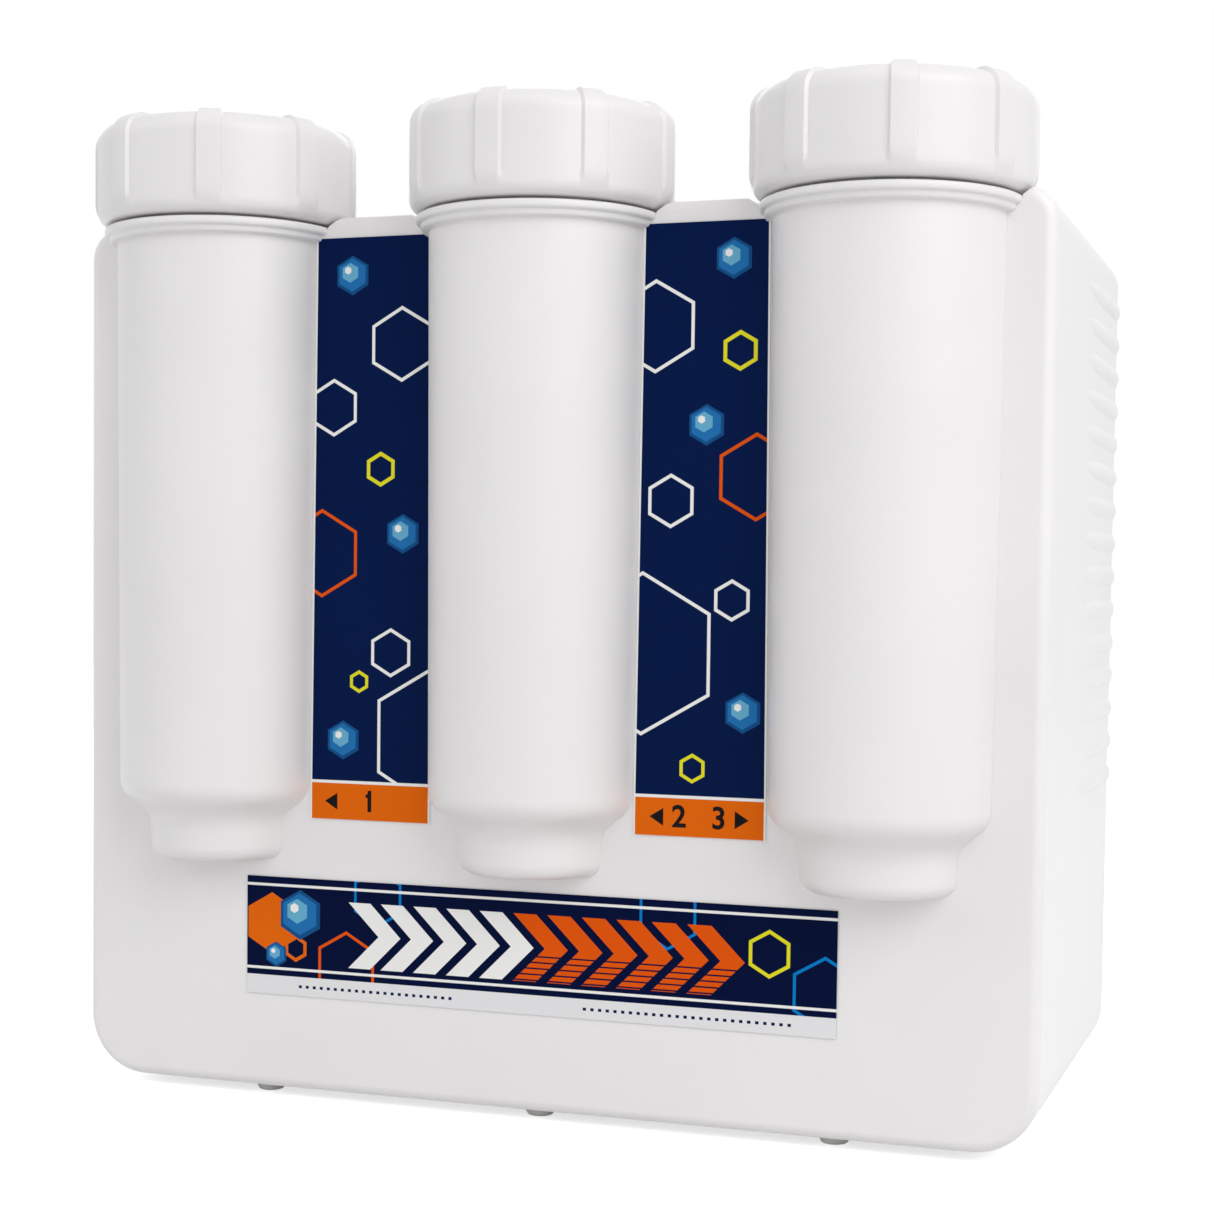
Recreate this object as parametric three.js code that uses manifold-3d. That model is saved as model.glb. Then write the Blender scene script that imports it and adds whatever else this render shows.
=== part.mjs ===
// Reverse osmosis water filter with a closed case.
// Three filter tubs with screw caps stand in the front of a moulded case. Behind them the case holds the
// membrane housing, the post filter, the storage tank, the valves and the tubing that joins them.
// Lengths are in millimetres. Inside the assembly X runs across the case from its middle, Y from the outer
// face of the front panel towards the back, and Z up from the underside of the case.

import * as THREE from 'three';
import { mergeVertices } from 'three/addons/utils/BufferGeometryUtils.js';
import Module from 'manifold-3d';

// Gaps and roundness that all pieces share
const fitGap = 0.3;
const overrun = 1;
const wallBite = 1.5;
const waterwayRadius = 3;
const tubSides = 24;
const vesselSides = 16;
const footSides = 12;
const fittingSides = 8;
const cornerSteps = 5;
const innerCornerSteps = 4;
const filletSteps = 3;
const edgeSteps = 2;
const domeSteps = 4;
const shoulderSteps = 5;
const capShoulderSteps = 3;
const gripEndSteps = 1;
const fullTurn = 360;

// Case: one moulding with the front panel, sides, top and floor. Its width follows from the tubs, its
// height from the cartridges and its depth from the tank.
const caseWall = 3;
const caseSideMargin = 62;
const caseBottomRadius = 25;
const caseTopRadius = 13;
const caseFrontFillet = 4.5;

// Grip ribs on both sides of the case
const gripCount = 15;
const gripWidth = 7.6;
const gripHeight = 1.5;
const gripTopInset = 24.2;
const gripPitch = 14.6;
const gripStart = 97;

// Rubber feet, pushed into the floor of the case
const footHeight = 4;
const footTopRadius = 7;
const footBottomRadius = 5;
const footStemRadius = 2.2;
const footSpacing = 122;
const footInset = 15;

// Filter tubs
const tubSpacing = 140;
const tubAxisY = 6.2;
const tubBoreRadius = 38.5;
const tubTopWall = 6;
const tubShoulderWall = 4.5;
const tubUnderside = 95.5;
const spigotBoreRadius = 26.5;
const spigotWall = 4.1;
const spigotEdge = 3;
const spigotHeight = 13;
const spigotFloor = 4.5;
const shoulderHeight = 19.5;
const shoulderPull = 10.5;
const ledgeDrop = 2;
const collarBrim = 7.4;
const collarThickness = 4.5;
const neckWall = 4.1;
const neckHeight = 30;
const threadPitch = 6;
const threadTurns = 2;
const threadSteps = 12;
const threadDepth = 1.4;
const threadRoot = 0.8;
const threadStart = 7;

// Water ports moulded on the backs of the tubs
const tubPortRadius = 7;
const tubPortReach = 9;
const inletRise = 12;
const outletRise = 11.5;

// Round seats in the top of the case
const seatFlare = 5.2;
const seatDepth = 4;

// Screw caps
const capWall = 7.9;
const capHeight = 39.8;
const capLift = 1.2;
const capTopEdge = 8;
const capBottomEdge = 5;
const capThreadGap = 0.4;
const capRoof = 5;
const capNeckRoom = 1.5;
const plugSideGap = 0.9;
const plugWall = 6.6;
const plugDepth = 12;
const plugGap = 1.2;
const grooveDepth = 3.1;
const grooveHeight = 4;
const grooveDrop = 3.5;
const capRibCount = 8;
const capRibHeight = 1.4;
const capRibWidth = 10.4;
const capRibFoot = 5.5;
const capRibFade = 6;
const capRibInnerRadius = 36;

// Filter cartridges
const cartridgeLength = 246;
const cartridgeRadius = 31;
const cartridgeBoreRadius = 14;
const cartridgeEdge = 1.5;
const blockCapRadius = 32.5;
const blockCapLength = 14;
const blockRadius = 29.5;

// Labels on the front panel
const labelGap = 0.2;
const labelThickness = 0.3;
const labelSideGap = 0.8;
const uprightLabelRise = 18;
const bannerWidth = 251;
const bannerHeight = 48.9;
const bannerDrop = 7.3;

// Moulded bracket behind the tubs and the bosses that carry it
const bracketThickness = 2;
const bracketSideGap = 27;
const bracketTopGap = 3;
const bracketHoleGap = 1;
const bossRadius = 5;
const bracketBossDrop = 28;

// Rear cover and its bosses
const coverThickness = 3;
const coverBossLength = 25;
const coverBossInset = 6;
const coverScrewRise = 40;
const coverScrewDrop = 38;

// Screws
const screwHeadRadius = 3.6;
const screwHeadHeight = 2.2;
const screwShankRadius = 1.6;
const screwShankLength = 12;

// Storage tank and the cradle that carries it
const tankRadius = 58;
const tankEndRoom = 37;
const valveEndRoom = 77;
const tankDome = 26;
const tankTubeGap = 3;
const tankBackGap = 3.4;
const tankFloorGap = 7;
const tankNeckRadius = 8;
const tankNeckLength = 14.7;
const saddleWidth = 18;
const saddleInset = 12;
const saddleHeight = 38.7;
const saddleSpacing = 150;
const cradleRailWidth = 12;
const cradleRailHeight = 5;

// Tank valve and its lever
const valveWidth = 26;
const valveDepth = 26;
const valveHeight = 26;
const valveSpoutHeight = 4;
const leverHubRadius = 8;
const leverThickness = 6;
const leverLength = 30;
const leverWidth = 8;
const leverPinRadius = 2.6;

// Membrane housing, its cap, seal and element
const vesselStandoff = 35;
const membraneRise = 37;
const housingLeftRoom = 74;
const housingRightRoom = 80;
const housingRadius = 26;
const housingBoreRadius = 22.8;
const housingEndWall = 6;
const housingEndEdge = 4;
const housingNeckRadius = 25;
const housingNeckLength = 22;
const housingFeedInset = 28;
const concentrateOffset = 15;
const housingCapRadius = 30;
const housingCapBoreRadius = 25.4;
const housingCapOverlap = 20;
const housingCapEnd = 14;
const housingCapEdge = 2;
const housingPlugRadius = 21.9;
const housingPlugDepth = 10;
const housingPlugBoreRadius = 14;
const housingCapFloor = 5;
const housingGrooveRadius = 19.6;
const housingGrooveHeight = 3.4;
const housingGrooveInset = 3;
const elementRadius = 21;
const elementSealRadius = 22.4;
const elementSealWidth = 6;
const elementCoreRadius = 8;
const elementPlugGap = 3.7;
const elementWrapInset = 6;

// Post filter
const postFilterRise = 65;
const postFilterRadius = 24;
const postFilterLeftInset = 50;
const postFilterRightInset = 20;
const postFilterEdge = 6;

// Clips that hold the membrane housing and the post filter to the bracket
const clipThickness = 3;
const clipWidth = 14;
const clipSpacing = 120;
const clipBaseWidth = 20;
const clipMouthAngle = 100;
const clipSteps = 9;

// Push-fit fittings and valves
const stubRadius = 6;
const stubLength = 8;
const fittingRadius = 7;
const fittingReach = 10;
const shutoffWidth = 50;
const shutoffHeight = 42;
const shutoffStandoff = 17;
const shutoffDrop = 49;
const shutoffPortRise = 9;
const checkValveReach = 13;
const restrictorRadius = 6;
const restrictorLength = 20;

// Tubing
const tubeRadius = 3.2;
const tubeSides = 8;
const tubeStep = 19;
const tubeBend = 16;
const tightBend = 7;
const linkStandoff = 26;
const productDrop = 15;

// Tube ports through the rear cover
const feedPortInset = 32;
const feedPortRise = 25;
const drainPortInset = 37;
const tapPortRoom = 42;
const portStemRadius = 7;
const portStemLength = 20;
const portHeadRadius = 10;
const portHeadLength = 9;
const portBoreRadius = 3.6;
const portSocketRadius = 4.8;
const portSocketDepth = 7;
const portHoleGap = 0.5;
const colletShankRadius = 4.4;
const colletShankLength = 5;
const colletFlangeRadius = 6;
const colletFlangeLength = 1.6;
const colletTravel = 1.5;
const colletBoreRadius = 3.3;

// Radii of the tubs and caps
const tubTopRadius = tubBoreRadius + tubTopWall;
const tubShoulderRadius = tubBoreRadius + tubShoulderWall;
const spigotRadius = spigotBoreRadius + spigotWall;
const neckRadius = tubBoreRadius + neckWall;
const collarRadius = neckRadius + collarBrim;
const capBoreRadius = neckRadius + threadDepth + capThreadGap;
const capRadius = capBoreRadius + capWall;
const plugRadius = tubBoreRadius - plugSideGap;
const plugBoreRadius = plugRadius - plugWall;
const grooveRadius = plugRadius - grooveDepth;

// Heights of the tubs and caps, and the case's height
const spigotTop = tubUnderside + spigotHeight;
const shoulderTop = spigotTop + shoulderHeight;
const ledgeTop = shoulderTop - ledgeDrop;
const outletHeight = tubUnderside + outletRise;
const inletHeight = ledgeTop + inletRise;
const cartridgeBottom = ledgeTop + fitGap;
const cartridgeTop = cartridgeBottom + cartridgeLength;
const plugBottom = cartridgeTop + plugGap;
const capBoreTop = plugBottom + plugDepth;
const neckTop = capBoreTop - capNeckRoom;
const collarTop = neckTop - neckHeight;
const collarBottom = collarTop - collarThickness;
const seatFloor = collarBottom - fitGap;
const capBottom = collarTop + capLift;
const capTop = capBottom + capHeight;
const grooveBottom = plugBottom + grooveDrop;
const caseHeight = collarTop + seatDepth;

// Places across the case and its width
const tubPlaces = [-tubSpacing, 0, tubSpacing];
const caseWidth = 2 * (tubSpacing + caseSideMargin);
const caseSide = caseWidth / 2;
const tankLeft = tankEndRoom - caseSide;
const tankLength = caseWidth - tankEndRoom - valveEndRoom;
const valveX = tankLeft + tankLength + tankNeckLength + fitGap + valveWidth / 2;
const housingLeft = housingLeftRoom - caseSide;
const housingRight = caseSide - housingRightRoom;
const housingLength = housingRight - housingLeft;
const postFilterLeft = housingLeft + postFilterLeftInset;
const postFilterRight = housingRight - postFilterRightInset;
const postFilterLength = postFilterRight - postFilterLeft;
const feedPortX = feedPortInset - caseSide;
const drainPortX = caseSide - drainPortInset;
const tapPortX = postFilterLeft - tapPortRoom;
const coverScrewX = caseSide - caseWall - coverBossInset;

// Heights of what lies inside the case
const bracketBottom = caseWall + fitGap;
const bracketTop = seatFloor - caseWall - bracketTopGap;
const tankAxisZ = caseWall + tankFloorGap + tankRadius;
const membraneAxisZ = inletHeight + membraneRise;
const postFilterAxisZ = membraneAxisZ + postFilterRise;
const feedPortZ = membraneAxisZ + feedPortRise;
const shutoffAxisZ = caseHeight - shutoffDrop;

// Places from the front to the back and the case's depth. The tank lies as far forward as the tubes between
// the tubs let it.
const bracketFront = tubAxisY + tubTopRadius + fitGap;
const bracketBack = bracketFront + bracketThickness;
const tubPortEnd = bracketBack + tubPortReach;
const vesselAxisY = bracketBack + vesselStandoff;
const shutoffAxisY = bracketBack + shutoffStandoff;
const linkLayerY = bracketBack + linkStandoff;
const tankReach = tankRadius + tankTubeGap + tubeRadius;
const tankAxisY = linkLayerY + Math.sqrt(tankReach ** 2 - (outletHeight - tankAxisZ) ** 2);
const caseDepth = tankAxisY + tankRadius + tankBackGap;
const coverFront = caseDepth + fitGap;
const coverBack = coverFront + coverThickness;
const portHeadBack = coverBack + fitGap + portHeadLength;
const portInnerEnd = coverBack + fitGap - portStemLength;

// Materials
function plastic(color, roughness = 0.45) {
  return new THREE.MeshStandardMaterial({ color, roughness, metalness: 0 });
}

function metal(color, roughness = 0.35) {
  return new THREE.MeshStandardMaterial({ color, roughness, metalness: 1 });
}

const warmWhite = plastic(0xe8e6e6);
const coolWhite = plastic(0xeeeeec, 0.4);
const navyPrint = plastic(0x14205c, 0.35);
const greyRubber = plastic(0xb9b8b6, 0.8);
const blackRubber = plastic(0x1a1a1a, 0.7);
const spunWhite = plastic(0xf4f2ec, 0.9);
const carbonBlack = plastic(0x26272a, 0.85);
const tankBlue = plastic(0x3a6ea8, 0.4);
const tubingWhite = plastic(0xf2f4f5, 0.35);
const fittingGrey = plastic(0xd4d7da, 0.4);
const colletBlue = plastic(0x2f66b0, 0.4);
const leverBlue = plastic(0x2456a6, 0.4);
const screwSteel = metal(0xc8cacc, 0.3);

// Solids
const wasm = await Module();
wasm.setup();

// Turns a closed three.js geometry into a solid that can be joined and cut.
function solidOf(geometry) {
  const bare = new THREE.BufferGeometry();
  bare.setAttribute('position', geometry.getAttribute('position'));
  bare.setIndex(geometry.getIndex());
  const merged = mergeVertices(bare);
  const index = merged.getIndex().array;
  const triangles = [];
  for (let i = 0; i < index.length; i += 3) {
    const [a, b, c] = [index[i], index[i + 1], index[i + 2]];
    if (a !== b && b !== c && c !== a) {
      triangles.push(a, b, c);
    }
  }
  return new wasm.Manifold(new wasm.Mesh({
    numProp: 3,
    vertProperties: new Float32Array(merged.getAttribute('position').array),
    triVerts: new Uint32Array(triangles),
  }));
}

function geometryOf(solid) {
  const mesh = solid.getMesh();
  const geometry = new THREE.BufferGeometry();
  geometry.setAttribute('position', new THREE.BufferAttribute(new Float32Array(mesh.vertProperties), 3));
  geometry.setIndex(new THREE.BufferAttribute(new Uint32Array(mesh.triVerts), 1));
  const flat = geometry.toNonIndexed();
  flat.computeVertexNormals();
  return flat;
}

function join(solids) {
  return solids.reduce((whole, solid) => whole.add(solid));
}

function cut(solid, cutters) {
  return solid.subtract(join(cutters));
}

// A polygon with this corner radius clears a circle of the given radius.
function clearing(radius, sides) {
  return radius / Math.cos(Math.PI / sides);
}

// Turns an outline of [radius, height] points about the Z axis. The outline runs anticlockwise, from axis
// to axis or closed on itself.
function revolve(outline, sides) {
  const points = outline.map(([radius, height]) => new THREE.Vector2(radius, height));
  const geometry = new THREE.LatheGeometry(points, sides);
  geometry.rotateX(Math.PI / 2);
  return solidOf(geometry);
}

// A ring with a rectangular section.
function ring(innerRadius, outerRadius, bottom, top, sides) {
  const inner = clearing(innerRadius, sides);
  return revolve([[inner, bottom], [outerRadius, bottom], [outerRadius, top], [inner, top], [inner, bottom]],
    sides);
}

// Points of an arc from one angle to another, both in degrees.
function arc(centreX, centreY, radius, from, to, steps) {
  const points = [];
  for (let i = 0; i <= steps; i += 1) {
    const angle = THREE.MathUtils.degToRad(from + ((to - from) * i) / steps);
    points.push([centreX + radius * Math.cos(angle), centreY + radius * Math.sin(angle)]);
  }
  return points;
}

// A round rod between two points.
function rod(start, end, radius, sides = fittingSides) {
  const from = new THREE.Vector3(...start);
  const to = new THREE.Vector3(...end);
  const along = to.clone().sub(from);
  const geometry = new THREE.CylinderGeometry(radius, radius, along.length(), sides);
  geometry.applyQuaternion(
    new THREE.Quaternion().setFromUnitVectors(new THREE.Vector3(0, 1, 0), along.clone().normalize()));
  geometry.translate(...from.add(to).divideScalar(2).toArray());
  return solidOf(geometry);
}

function box([x0, y0, z0], [x1, y1, z1]) {
  const geometry = new THREE.BoxGeometry(x1 - x0, y1 - y0, z1 - z0);
  geometry.translate((x0 + x1) / 2, (y0 + y1) / 2, (z0 + z1) / 2);
  return solidOf(geometry);
}

// A shape drawn in X and Z, extruded along Y.
function slab(shape, front, back) {
  const geometry = new THREE.ExtrudeGeometry(shape, {
    depth: back - front, bevelEnabled: false, curveSegments: innerCornerSteps,
  });
  geometry.rotateX(Math.PI / 2);
  geometry.translate(0, back, 0);
  return solidOf(geometry);
}

// Stands a solid that was turned about Z along the X axis, with its base at the given place.
function alongX(solid, x, y, z) {
  return solid.rotate([0, 90, 0]).translate([x, y, z]);
}

function outlineShape(points) {
  return new THREE.Shape(points.map(([x, z]) => new THREE.Vector2(x, z)));
}

// Case

// The case's front outline, drawn in from its outer faces by the given inset.
function caseOutline(inset) {
  const side = caseSide - inset;
  const bottom = inset;
  const top = caseHeight - inset;
  const low = caseBottomRadius - inset;
  const high = caseTopRadius - inset;
  const shape = new THREE.Shape();
  shape.moveTo(-side + low, bottom);
  shape.lineTo(side - low, bottom);
  shape.absarc(side - low, bottom + low, low, -Math.PI / 2, 0);
  shape.lineTo(side, top - high);
  shape.absarc(side - high, top - high, high, 0, Math.PI / 2);
  shape.lineTo(-side + high, top);
  shape.absarc(-side + high, top - high, high, Math.PI / 2, Math.PI);
  shape.lineTo(-side, bottom + low);
  shape.absarc(-side + low, bottom + low, low, Math.PI, 1.5 * Math.PI);
  return shape;
}

// The outer body with its rounded front edge. Its back edge is trimmed flat later.
function caseBody() {
  const geometry = new THREE.ExtrudeGeometry(caseOutline(caseFrontFillet), {
    depth: caseDepth,
    bevelThickness: caseFrontFillet,
    bevelSize: caseFrontFillet,
    bevelSegments: filletSteps,
    curveSegments: cornerSteps,
  });
  geometry.rotateX(Math.PI / 2);
  geometry.translate(0, caseDepth + caseFrontFillet, 0);
  return solidOf(geometry);
}

// Half-round ribs with rounded front ends, sunk to their middle in the side wall.
function gripRibs() {
  const ribs = [];
  const run = caseDepth - gripStart;
  const lowest = caseHeight - gripTopInset - (gripCount - 1) * gripPitch;
  for (const side of [-1, 1]) {
    for (let i = 0; i < gripCount; i += 1) {
      const geometry = new THREE.CapsuleGeometry(gripWidth / 2, run, gripEndSteps, fittingSides);
      geometry.scale(gripHeight / (gripWidth / 2), 1, 1);
      geometry.translate(side * caseSide, gripStart + (gripWidth + run) / 2, lowest + i * gripPitch);
      ribs.push(solidOf(geometry));
    }
  }
  return join(ribs);
}

function bossAt(x, z, front, back) {
  return rod([x, front, z], [x, back, z], bossRadius);
}

// The hole that a screw bites into, from the mouth of its boss.
function bossHole(x, z, mouth) {
  const tip = mouth - screwShankLength - overrun;
  return rod([x, tip, z], [x, mouth + overrun, z], clearing(screwShankRadius + fitGap, fittingSides));
}

const bracketScrewPlaces = [];
const coverScrewPlaces = [];
for (const side of [-1, 1]) {
  bracketScrewPlaces.push([(side * tubSpacing) / 2, caseHeight - bracketBossDrop]);
  for (const height of [coverScrewRise, caseHeight - coverScrewDrop]) {
    coverScrewPlaces.push([side * coverScrewX, height]);
  }
}

const footPlaces = [];
for (const y of [footInset, caseDepth - footInset]) {
  for (const x of [-footSpacing, 0, footSpacing]) {
    footPlaces.push([x, y]);
  }
}

function caseShell() {
  const inside = slab(caseOutline(caseWall), caseWall, caseDepth + overrun);
  const body = caseBody();
  const seatRadius = collarRadius + fitGap + caseWall;
  const seats = tubPlaces.map((x) => (
    revolve([[0, seatFloor - caseWall], [seatRadius, seatFloor - caseWall], [seatRadius, caseHeight],
      [0, caseHeight]], tubSides).translate([x, tubAxisY, 0]).intersect(body)
  ));
  const bracketBosses = bracketScrewPlaces.map(([x, z]) => (
    bossAt(x, z, caseWall / 2, bracketFront - fitGap)));
  const coverBosses = coverScrewPlaces.map(([x, z]) => bossAt(x, z, caseDepth - coverBossLength, caseDepth));
  const gussets = coverScrewPlaces.map(([x, z]) => {
    const wallSide = Math.sign(x) * (caseSide - caseWall / 2);
    return box([Math.min(x, wallSide), caseDepth - coverBossLength, z - bossRadius / 2],
      [Math.max(x, wallSide), caseDepth - fitGap, z + bossRadius / 2]);
  });
  const shell = join([body.add(gripRibs()).subtract(inside), ...seats, ...bracketBosses, ...coverBosses,
    ...gussets]);
  const tubWays = tubPlaces.map((x) => tubEnvelope().translate([x, tubAxisY, 0]));
  const capWays = tubPlaces.map((x) => capEnvelope().translate([x, tubAxisY, 0]));
  const screwHoles = [
    ...bracketScrewPlaces.map(([x, z]) => bossHole(x, z, bracketFront - fitGap)),
    ...coverScrewPlaces.map(([x, z]) => bossHole(x, z, caseDepth)),
  ];
  const footHoles = footPlaces.map(([x, y]) => (
    rod([x, y, -overrun], [x, y, caseWall + overrun], clearing(footStemRadius + fitGap, fittingSides))));
  const behind = box([-caseWidth, caseDepth, -caseHeight], [caseWidth, 2 * caseDepth, 2 * caseHeight]);
  return cut(shell, [...tubWays, ...capWays, ...screwHoles, ...footHoles, behind]);
}

// The room that a collar and the lower edge of a cap need in the top of the case.
function capEnvelope() {
  const collarRoom = collarRadius + fitGap;
  const above = caseHeight + overrun;
  const seatRimRadius = collarRadius + seatFlare;
  const seatSlope = (seatRimRadius - collarRoom) / (caseHeight - collarTop);
  return revolve([[0, seatFloor], [collarRoom, seatFloor], [collarRoom, collarTop],
    [seatRimRadius + seatSlope * overrun, above], [0, above]], tubSides);
}

// Rubber feet

function rubberFoot() {
  return revolve([[0, -footHeight], [footBottomRadius, -footHeight], [footTopRadius, -fitGap],
    [footStemRadius, -fitGap], [footStemRadius, caseWall], [0, caseWall]], footSides);
}

// Filter tubs

// The outside of a tub from its spigot up to just under the collar, grown by a gap where one is asked for.
function tubOutline(grow = 0) {
  const foot = tubUnderside - grow;
  const spigot = spigotRadius + grow;
  const shoulder = tubShoulderRadius + grow;
  const curve = new THREE.CubicBezierCurve(
    new THREE.Vector2(spigot, spigotTop), new THREE.Vector2(spigot, spigotTop + shoulderPull),
    new THREE.Vector2(shoulder, shoulderTop - shoulderPull), new THREE.Vector2(shoulder, shoulderTop));
  return [
    [0, foot],
    ...arc(spigot - spigotEdge, foot + spigotEdge, spigotEdge, -90, 0, edgeSteps),
    ...curve.getPoints(shoulderSteps).map((point) => [point.x, point.y]),
    [tubTopRadius + grow, collarBottom],
  ];
}

function tubEnvelope() {
  return revolve([...tubOutline(fitGap), [tubTopRadius + fitGap, seatFloor + overrun],
    [0, seatFloor + overrun]], tubSides);
}

// A triangular ridge that climbs round the neck. Its root lies inside the neck's wall.
function threadRidge() {
  const steps = Math.round(threadTurns * threadSteps);
  const base = collarTop + threadStart;
  const section = [
    [neckRadius - threadRoot, -threadDepth], [neckRadius + threadDepth, 0],
    [neckRadius - threadRoot, threadDepth],
  ];
  const positions = [];
  const index = [];
  for (let i = 0; i <= steps; i += 1) {
    const angle = (2 * Math.PI * i) / threadSteps;
    for (const [radius, rise] of section) {
      positions.push(radius * Math.cos(angle), radius * Math.sin(angle),
        base + (threadPitch * i) / threadSteps + rise);
    }
  }
  for (let i = 0; i < steps; i += 1) {
    for (let k = 0; k < 3; k += 1) {
      const here = 3 * i + k;
      const beside = 3 * i + ((k + 1) % 3);
      index.push(here, here + 3, beside, beside, here + 3, beside + 3);
    }
  }
  index.push(0, 1, 2, 3 * steps, 3 * steps + 2, 3 * steps + 1);
  const geometry = new THREE.BufferGeometry();
  geometry.setAttribute('position', new THREE.Float32BufferAttribute(positions, 3));
  geometry.setIndex(index);
  return solidOf(geometry);
}

function filterTub() {
  const bore = clearing(tubBoreRadius, tubSides);
  const spigotBore = clearing(spigotBoreRadius, tubSides);
  const floor = tubUnderside + spigotFloor;
  const body = revolve([
    ...tubOutline(),
    [collarRadius, collarBottom], [collarRadius, collarTop], [neckRadius, collarTop], [neckRadius, neckTop],
    [bore, neckTop], [bore, ledgeTop], [spigotBore, ledgeTop], [spigotBore, floor], [0, floor],
  ], tubSides);
  const reach = tubPortEnd - tubAxisY;
  const ports = [[inletHeight, tubBoreRadius], [outletHeight, spigotBoreRadius]].map(([z, inner]) => ({
    boss: rod([0, inner + wallBite, z], [0, reach, z], tubPortRadius),
    hole: rod([0, inner - wallBite, z], [0, reach + overrun, z], waterwayRadius),
  }));
  const whole = join([body, threadRidge(), ...ports.map((port) => port.boss)]);
  return cut(whole, ports.map((port) => port.hole));
}

// Screw caps

// The rounded shoulder and the top of a cap, grown outwards for its ribs.
function capOutside(grow) {
  return [
    ...arc(capRadius - capTopEdge, capTop - capTopEdge, capTopEdge + grow, 0, 90, capShoulderSteps),
    [0, capTop + grow],
  ];
}

// Raised ribs run up the side of a cap and over its shoulder. They fade out towards its lower edge.
function capRibs() {
  const foot = capBottom + capRibFoot;
  const flats = revolve([[0, foot], [capRadius - capRibHeight, foot],
    [capRadius + capRibHeight, foot + capRibFade], ...capOutside(capRibHeight)]
    .map(([radius, z]) => [clearing(radius, tubSides), z]), tubSides).rotate([0, 0, 180 / tubSides]);
  const outer = 2 * capRadius;
  const outerSpread = capRibWidth;
  const innerSpread = (outerSpread * capRibInnerRadius) / outer;
  const wedges = [];
  for (let i = 0; i < capRibCount; i += 1) {
    const wedge = new THREE.ExtrudeGeometry(outlineShape([[-innerSpread, -capRibInnerRadius],
      [-outerSpread, -outer], [outerSpread, -outer], [innerSpread, -capRibInnerRadius]]),
    { depth: 2 * capHeight, bevelEnabled: false });
    wedge.translate(0, 0, capBottom);
    wedge.rotateZ((2 * Math.PI * i) / capRibCount);
    wedges.push(solidOf(wedge));
  }
  return flats.intersect(join(wedges));
}

// The inside of a cap takes the neck of its tub round a plug, which has a groove for the seal.
function screwCap() {
  const bore = clearing(capBoreRadius, tubSides);
  const roofUnderside = capTop - capRoof;
  const grooveTop = grooveBottom + grooveHeight;
  const below = capBottom - overrun;
  const inside = revolve([
    [0, below], [bore, below], [bore, capBoreTop], [plugRadius, capBoreTop], [plugRadius, grooveTop],
    [grooveRadius, grooveTop], [grooveRadius, grooveBottom], [plugRadius, grooveBottom],
    [plugRadius, plugBottom], [plugBoreRadius, plugBottom], [plugBoreRadius, roofUnderside],
    [0, roofUnderside],
  ], tubSides);
  const outside = revolve([
    [0, capBottom],
    ...arc(capRadius - capBottomEdge, capBottom + capBottomEdge, capBottomEdge, -90, 0, edgeSteps),
    ...capOutside(0),
  ], tubSides);
  return outside.add(capRibs()).subtract(inside);
}

function capSeal() {
  return ring(grooveRadius + fitGap, tubBoreRadius - fitGap, grooveBottom + fitGap,
    grooveBottom + grooveHeight - fitGap, tubSides);
}

// Filter cartridges

// A spun cartridge is a plain thick-walled tube with its edges taken off.
function spunCartridge() {
  const inner = cartridgeBoreRadius;
  const outer = cartridgeRadius;
  const edge = cartridgeEdge;
  return revolve([[inner, cartridgeBottom], [outer - edge, cartridgeBottom], [outer, cartridgeBottom + edge],
    [outer, cartridgeTop - edge], [outer - edge, cartridgeTop], [inner, cartridgeTop],
    [inner, cartridgeBottom]], vesselSides);
}

// A carbon block has a moulded cap at each end and a netted block between them.
function blockCartridge() {
  const inner = cartridgeBoreRadius;
  const low = cartridgeBottom + blockCapLength;
  const high = cartridgeTop - blockCapLength;
  return revolve([[inner, cartridgeBottom], [blockCapRadius, cartridgeBottom], [blockCapRadius, low],
    [blockRadius, low], [blockRadius, high], [blockCapRadius, high], [blockCapRadius, cartridgeTop],
    [inner, cartridgeTop], [inner, cartridgeBottom]], vesselSides);
}

// Labels

// Half of the width of the opening that a tub fills in the front panel, at a height above its shoulder.
function tubHalfChord(z) {
  const share = (z - shoulderTop) / (collarBottom - shoulderTop);
  const radius = tubShoulderRadius + (tubTopRadius - tubShoulderRadius) * share;
  return Math.sqrt(radius * radius - tubAxisY * tubAxisY);
}

// An upright label fills the panel between two tubs and narrows with their draft.
function uprightLabel(leftTubX) {
  const top = collarBottom - fitGap;
  const narrow = tubHalfChord(top) + labelSideGap;
  const wide = tubHalfChord(shoulderTop) + labelSideGap;
  const right = leftTubX + tubSpacing;
  const bottom = tubUnderside + uprightLabelRise;
  const shape = outlineShape([
    [leftTubX + wide, bottom], [right - wide, bottom], [right - wide, shoulderTop],
    [right - narrow, top], [leftTubX + narrow, top], [leftTubX + wide, shoulderTop],
  ]);
  return slab(shape, -labelGap - labelThickness, -labelGap);
}

function bannerLabel() {
  const top = tubUnderside - bannerDrop;
  return box([-bannerWidth / 2, -labelGap - labelThickness, top - bannerHeight],
    [bannerWidth / 2, -labelGap, top]);
}

// Bracket, cover and screws

// A screw that points to the front, with its head on the face at Y zero.
function screw() {
  const head = rod([0, fitGap, 0], [0, fitGap + screwHeadHeight, 0], screwHeadRadius);
  return head.add(rod([0, fitGap - screwShankLength, 0], [0, screwHeadHeight, 0], screwShankRadius));
}

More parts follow.
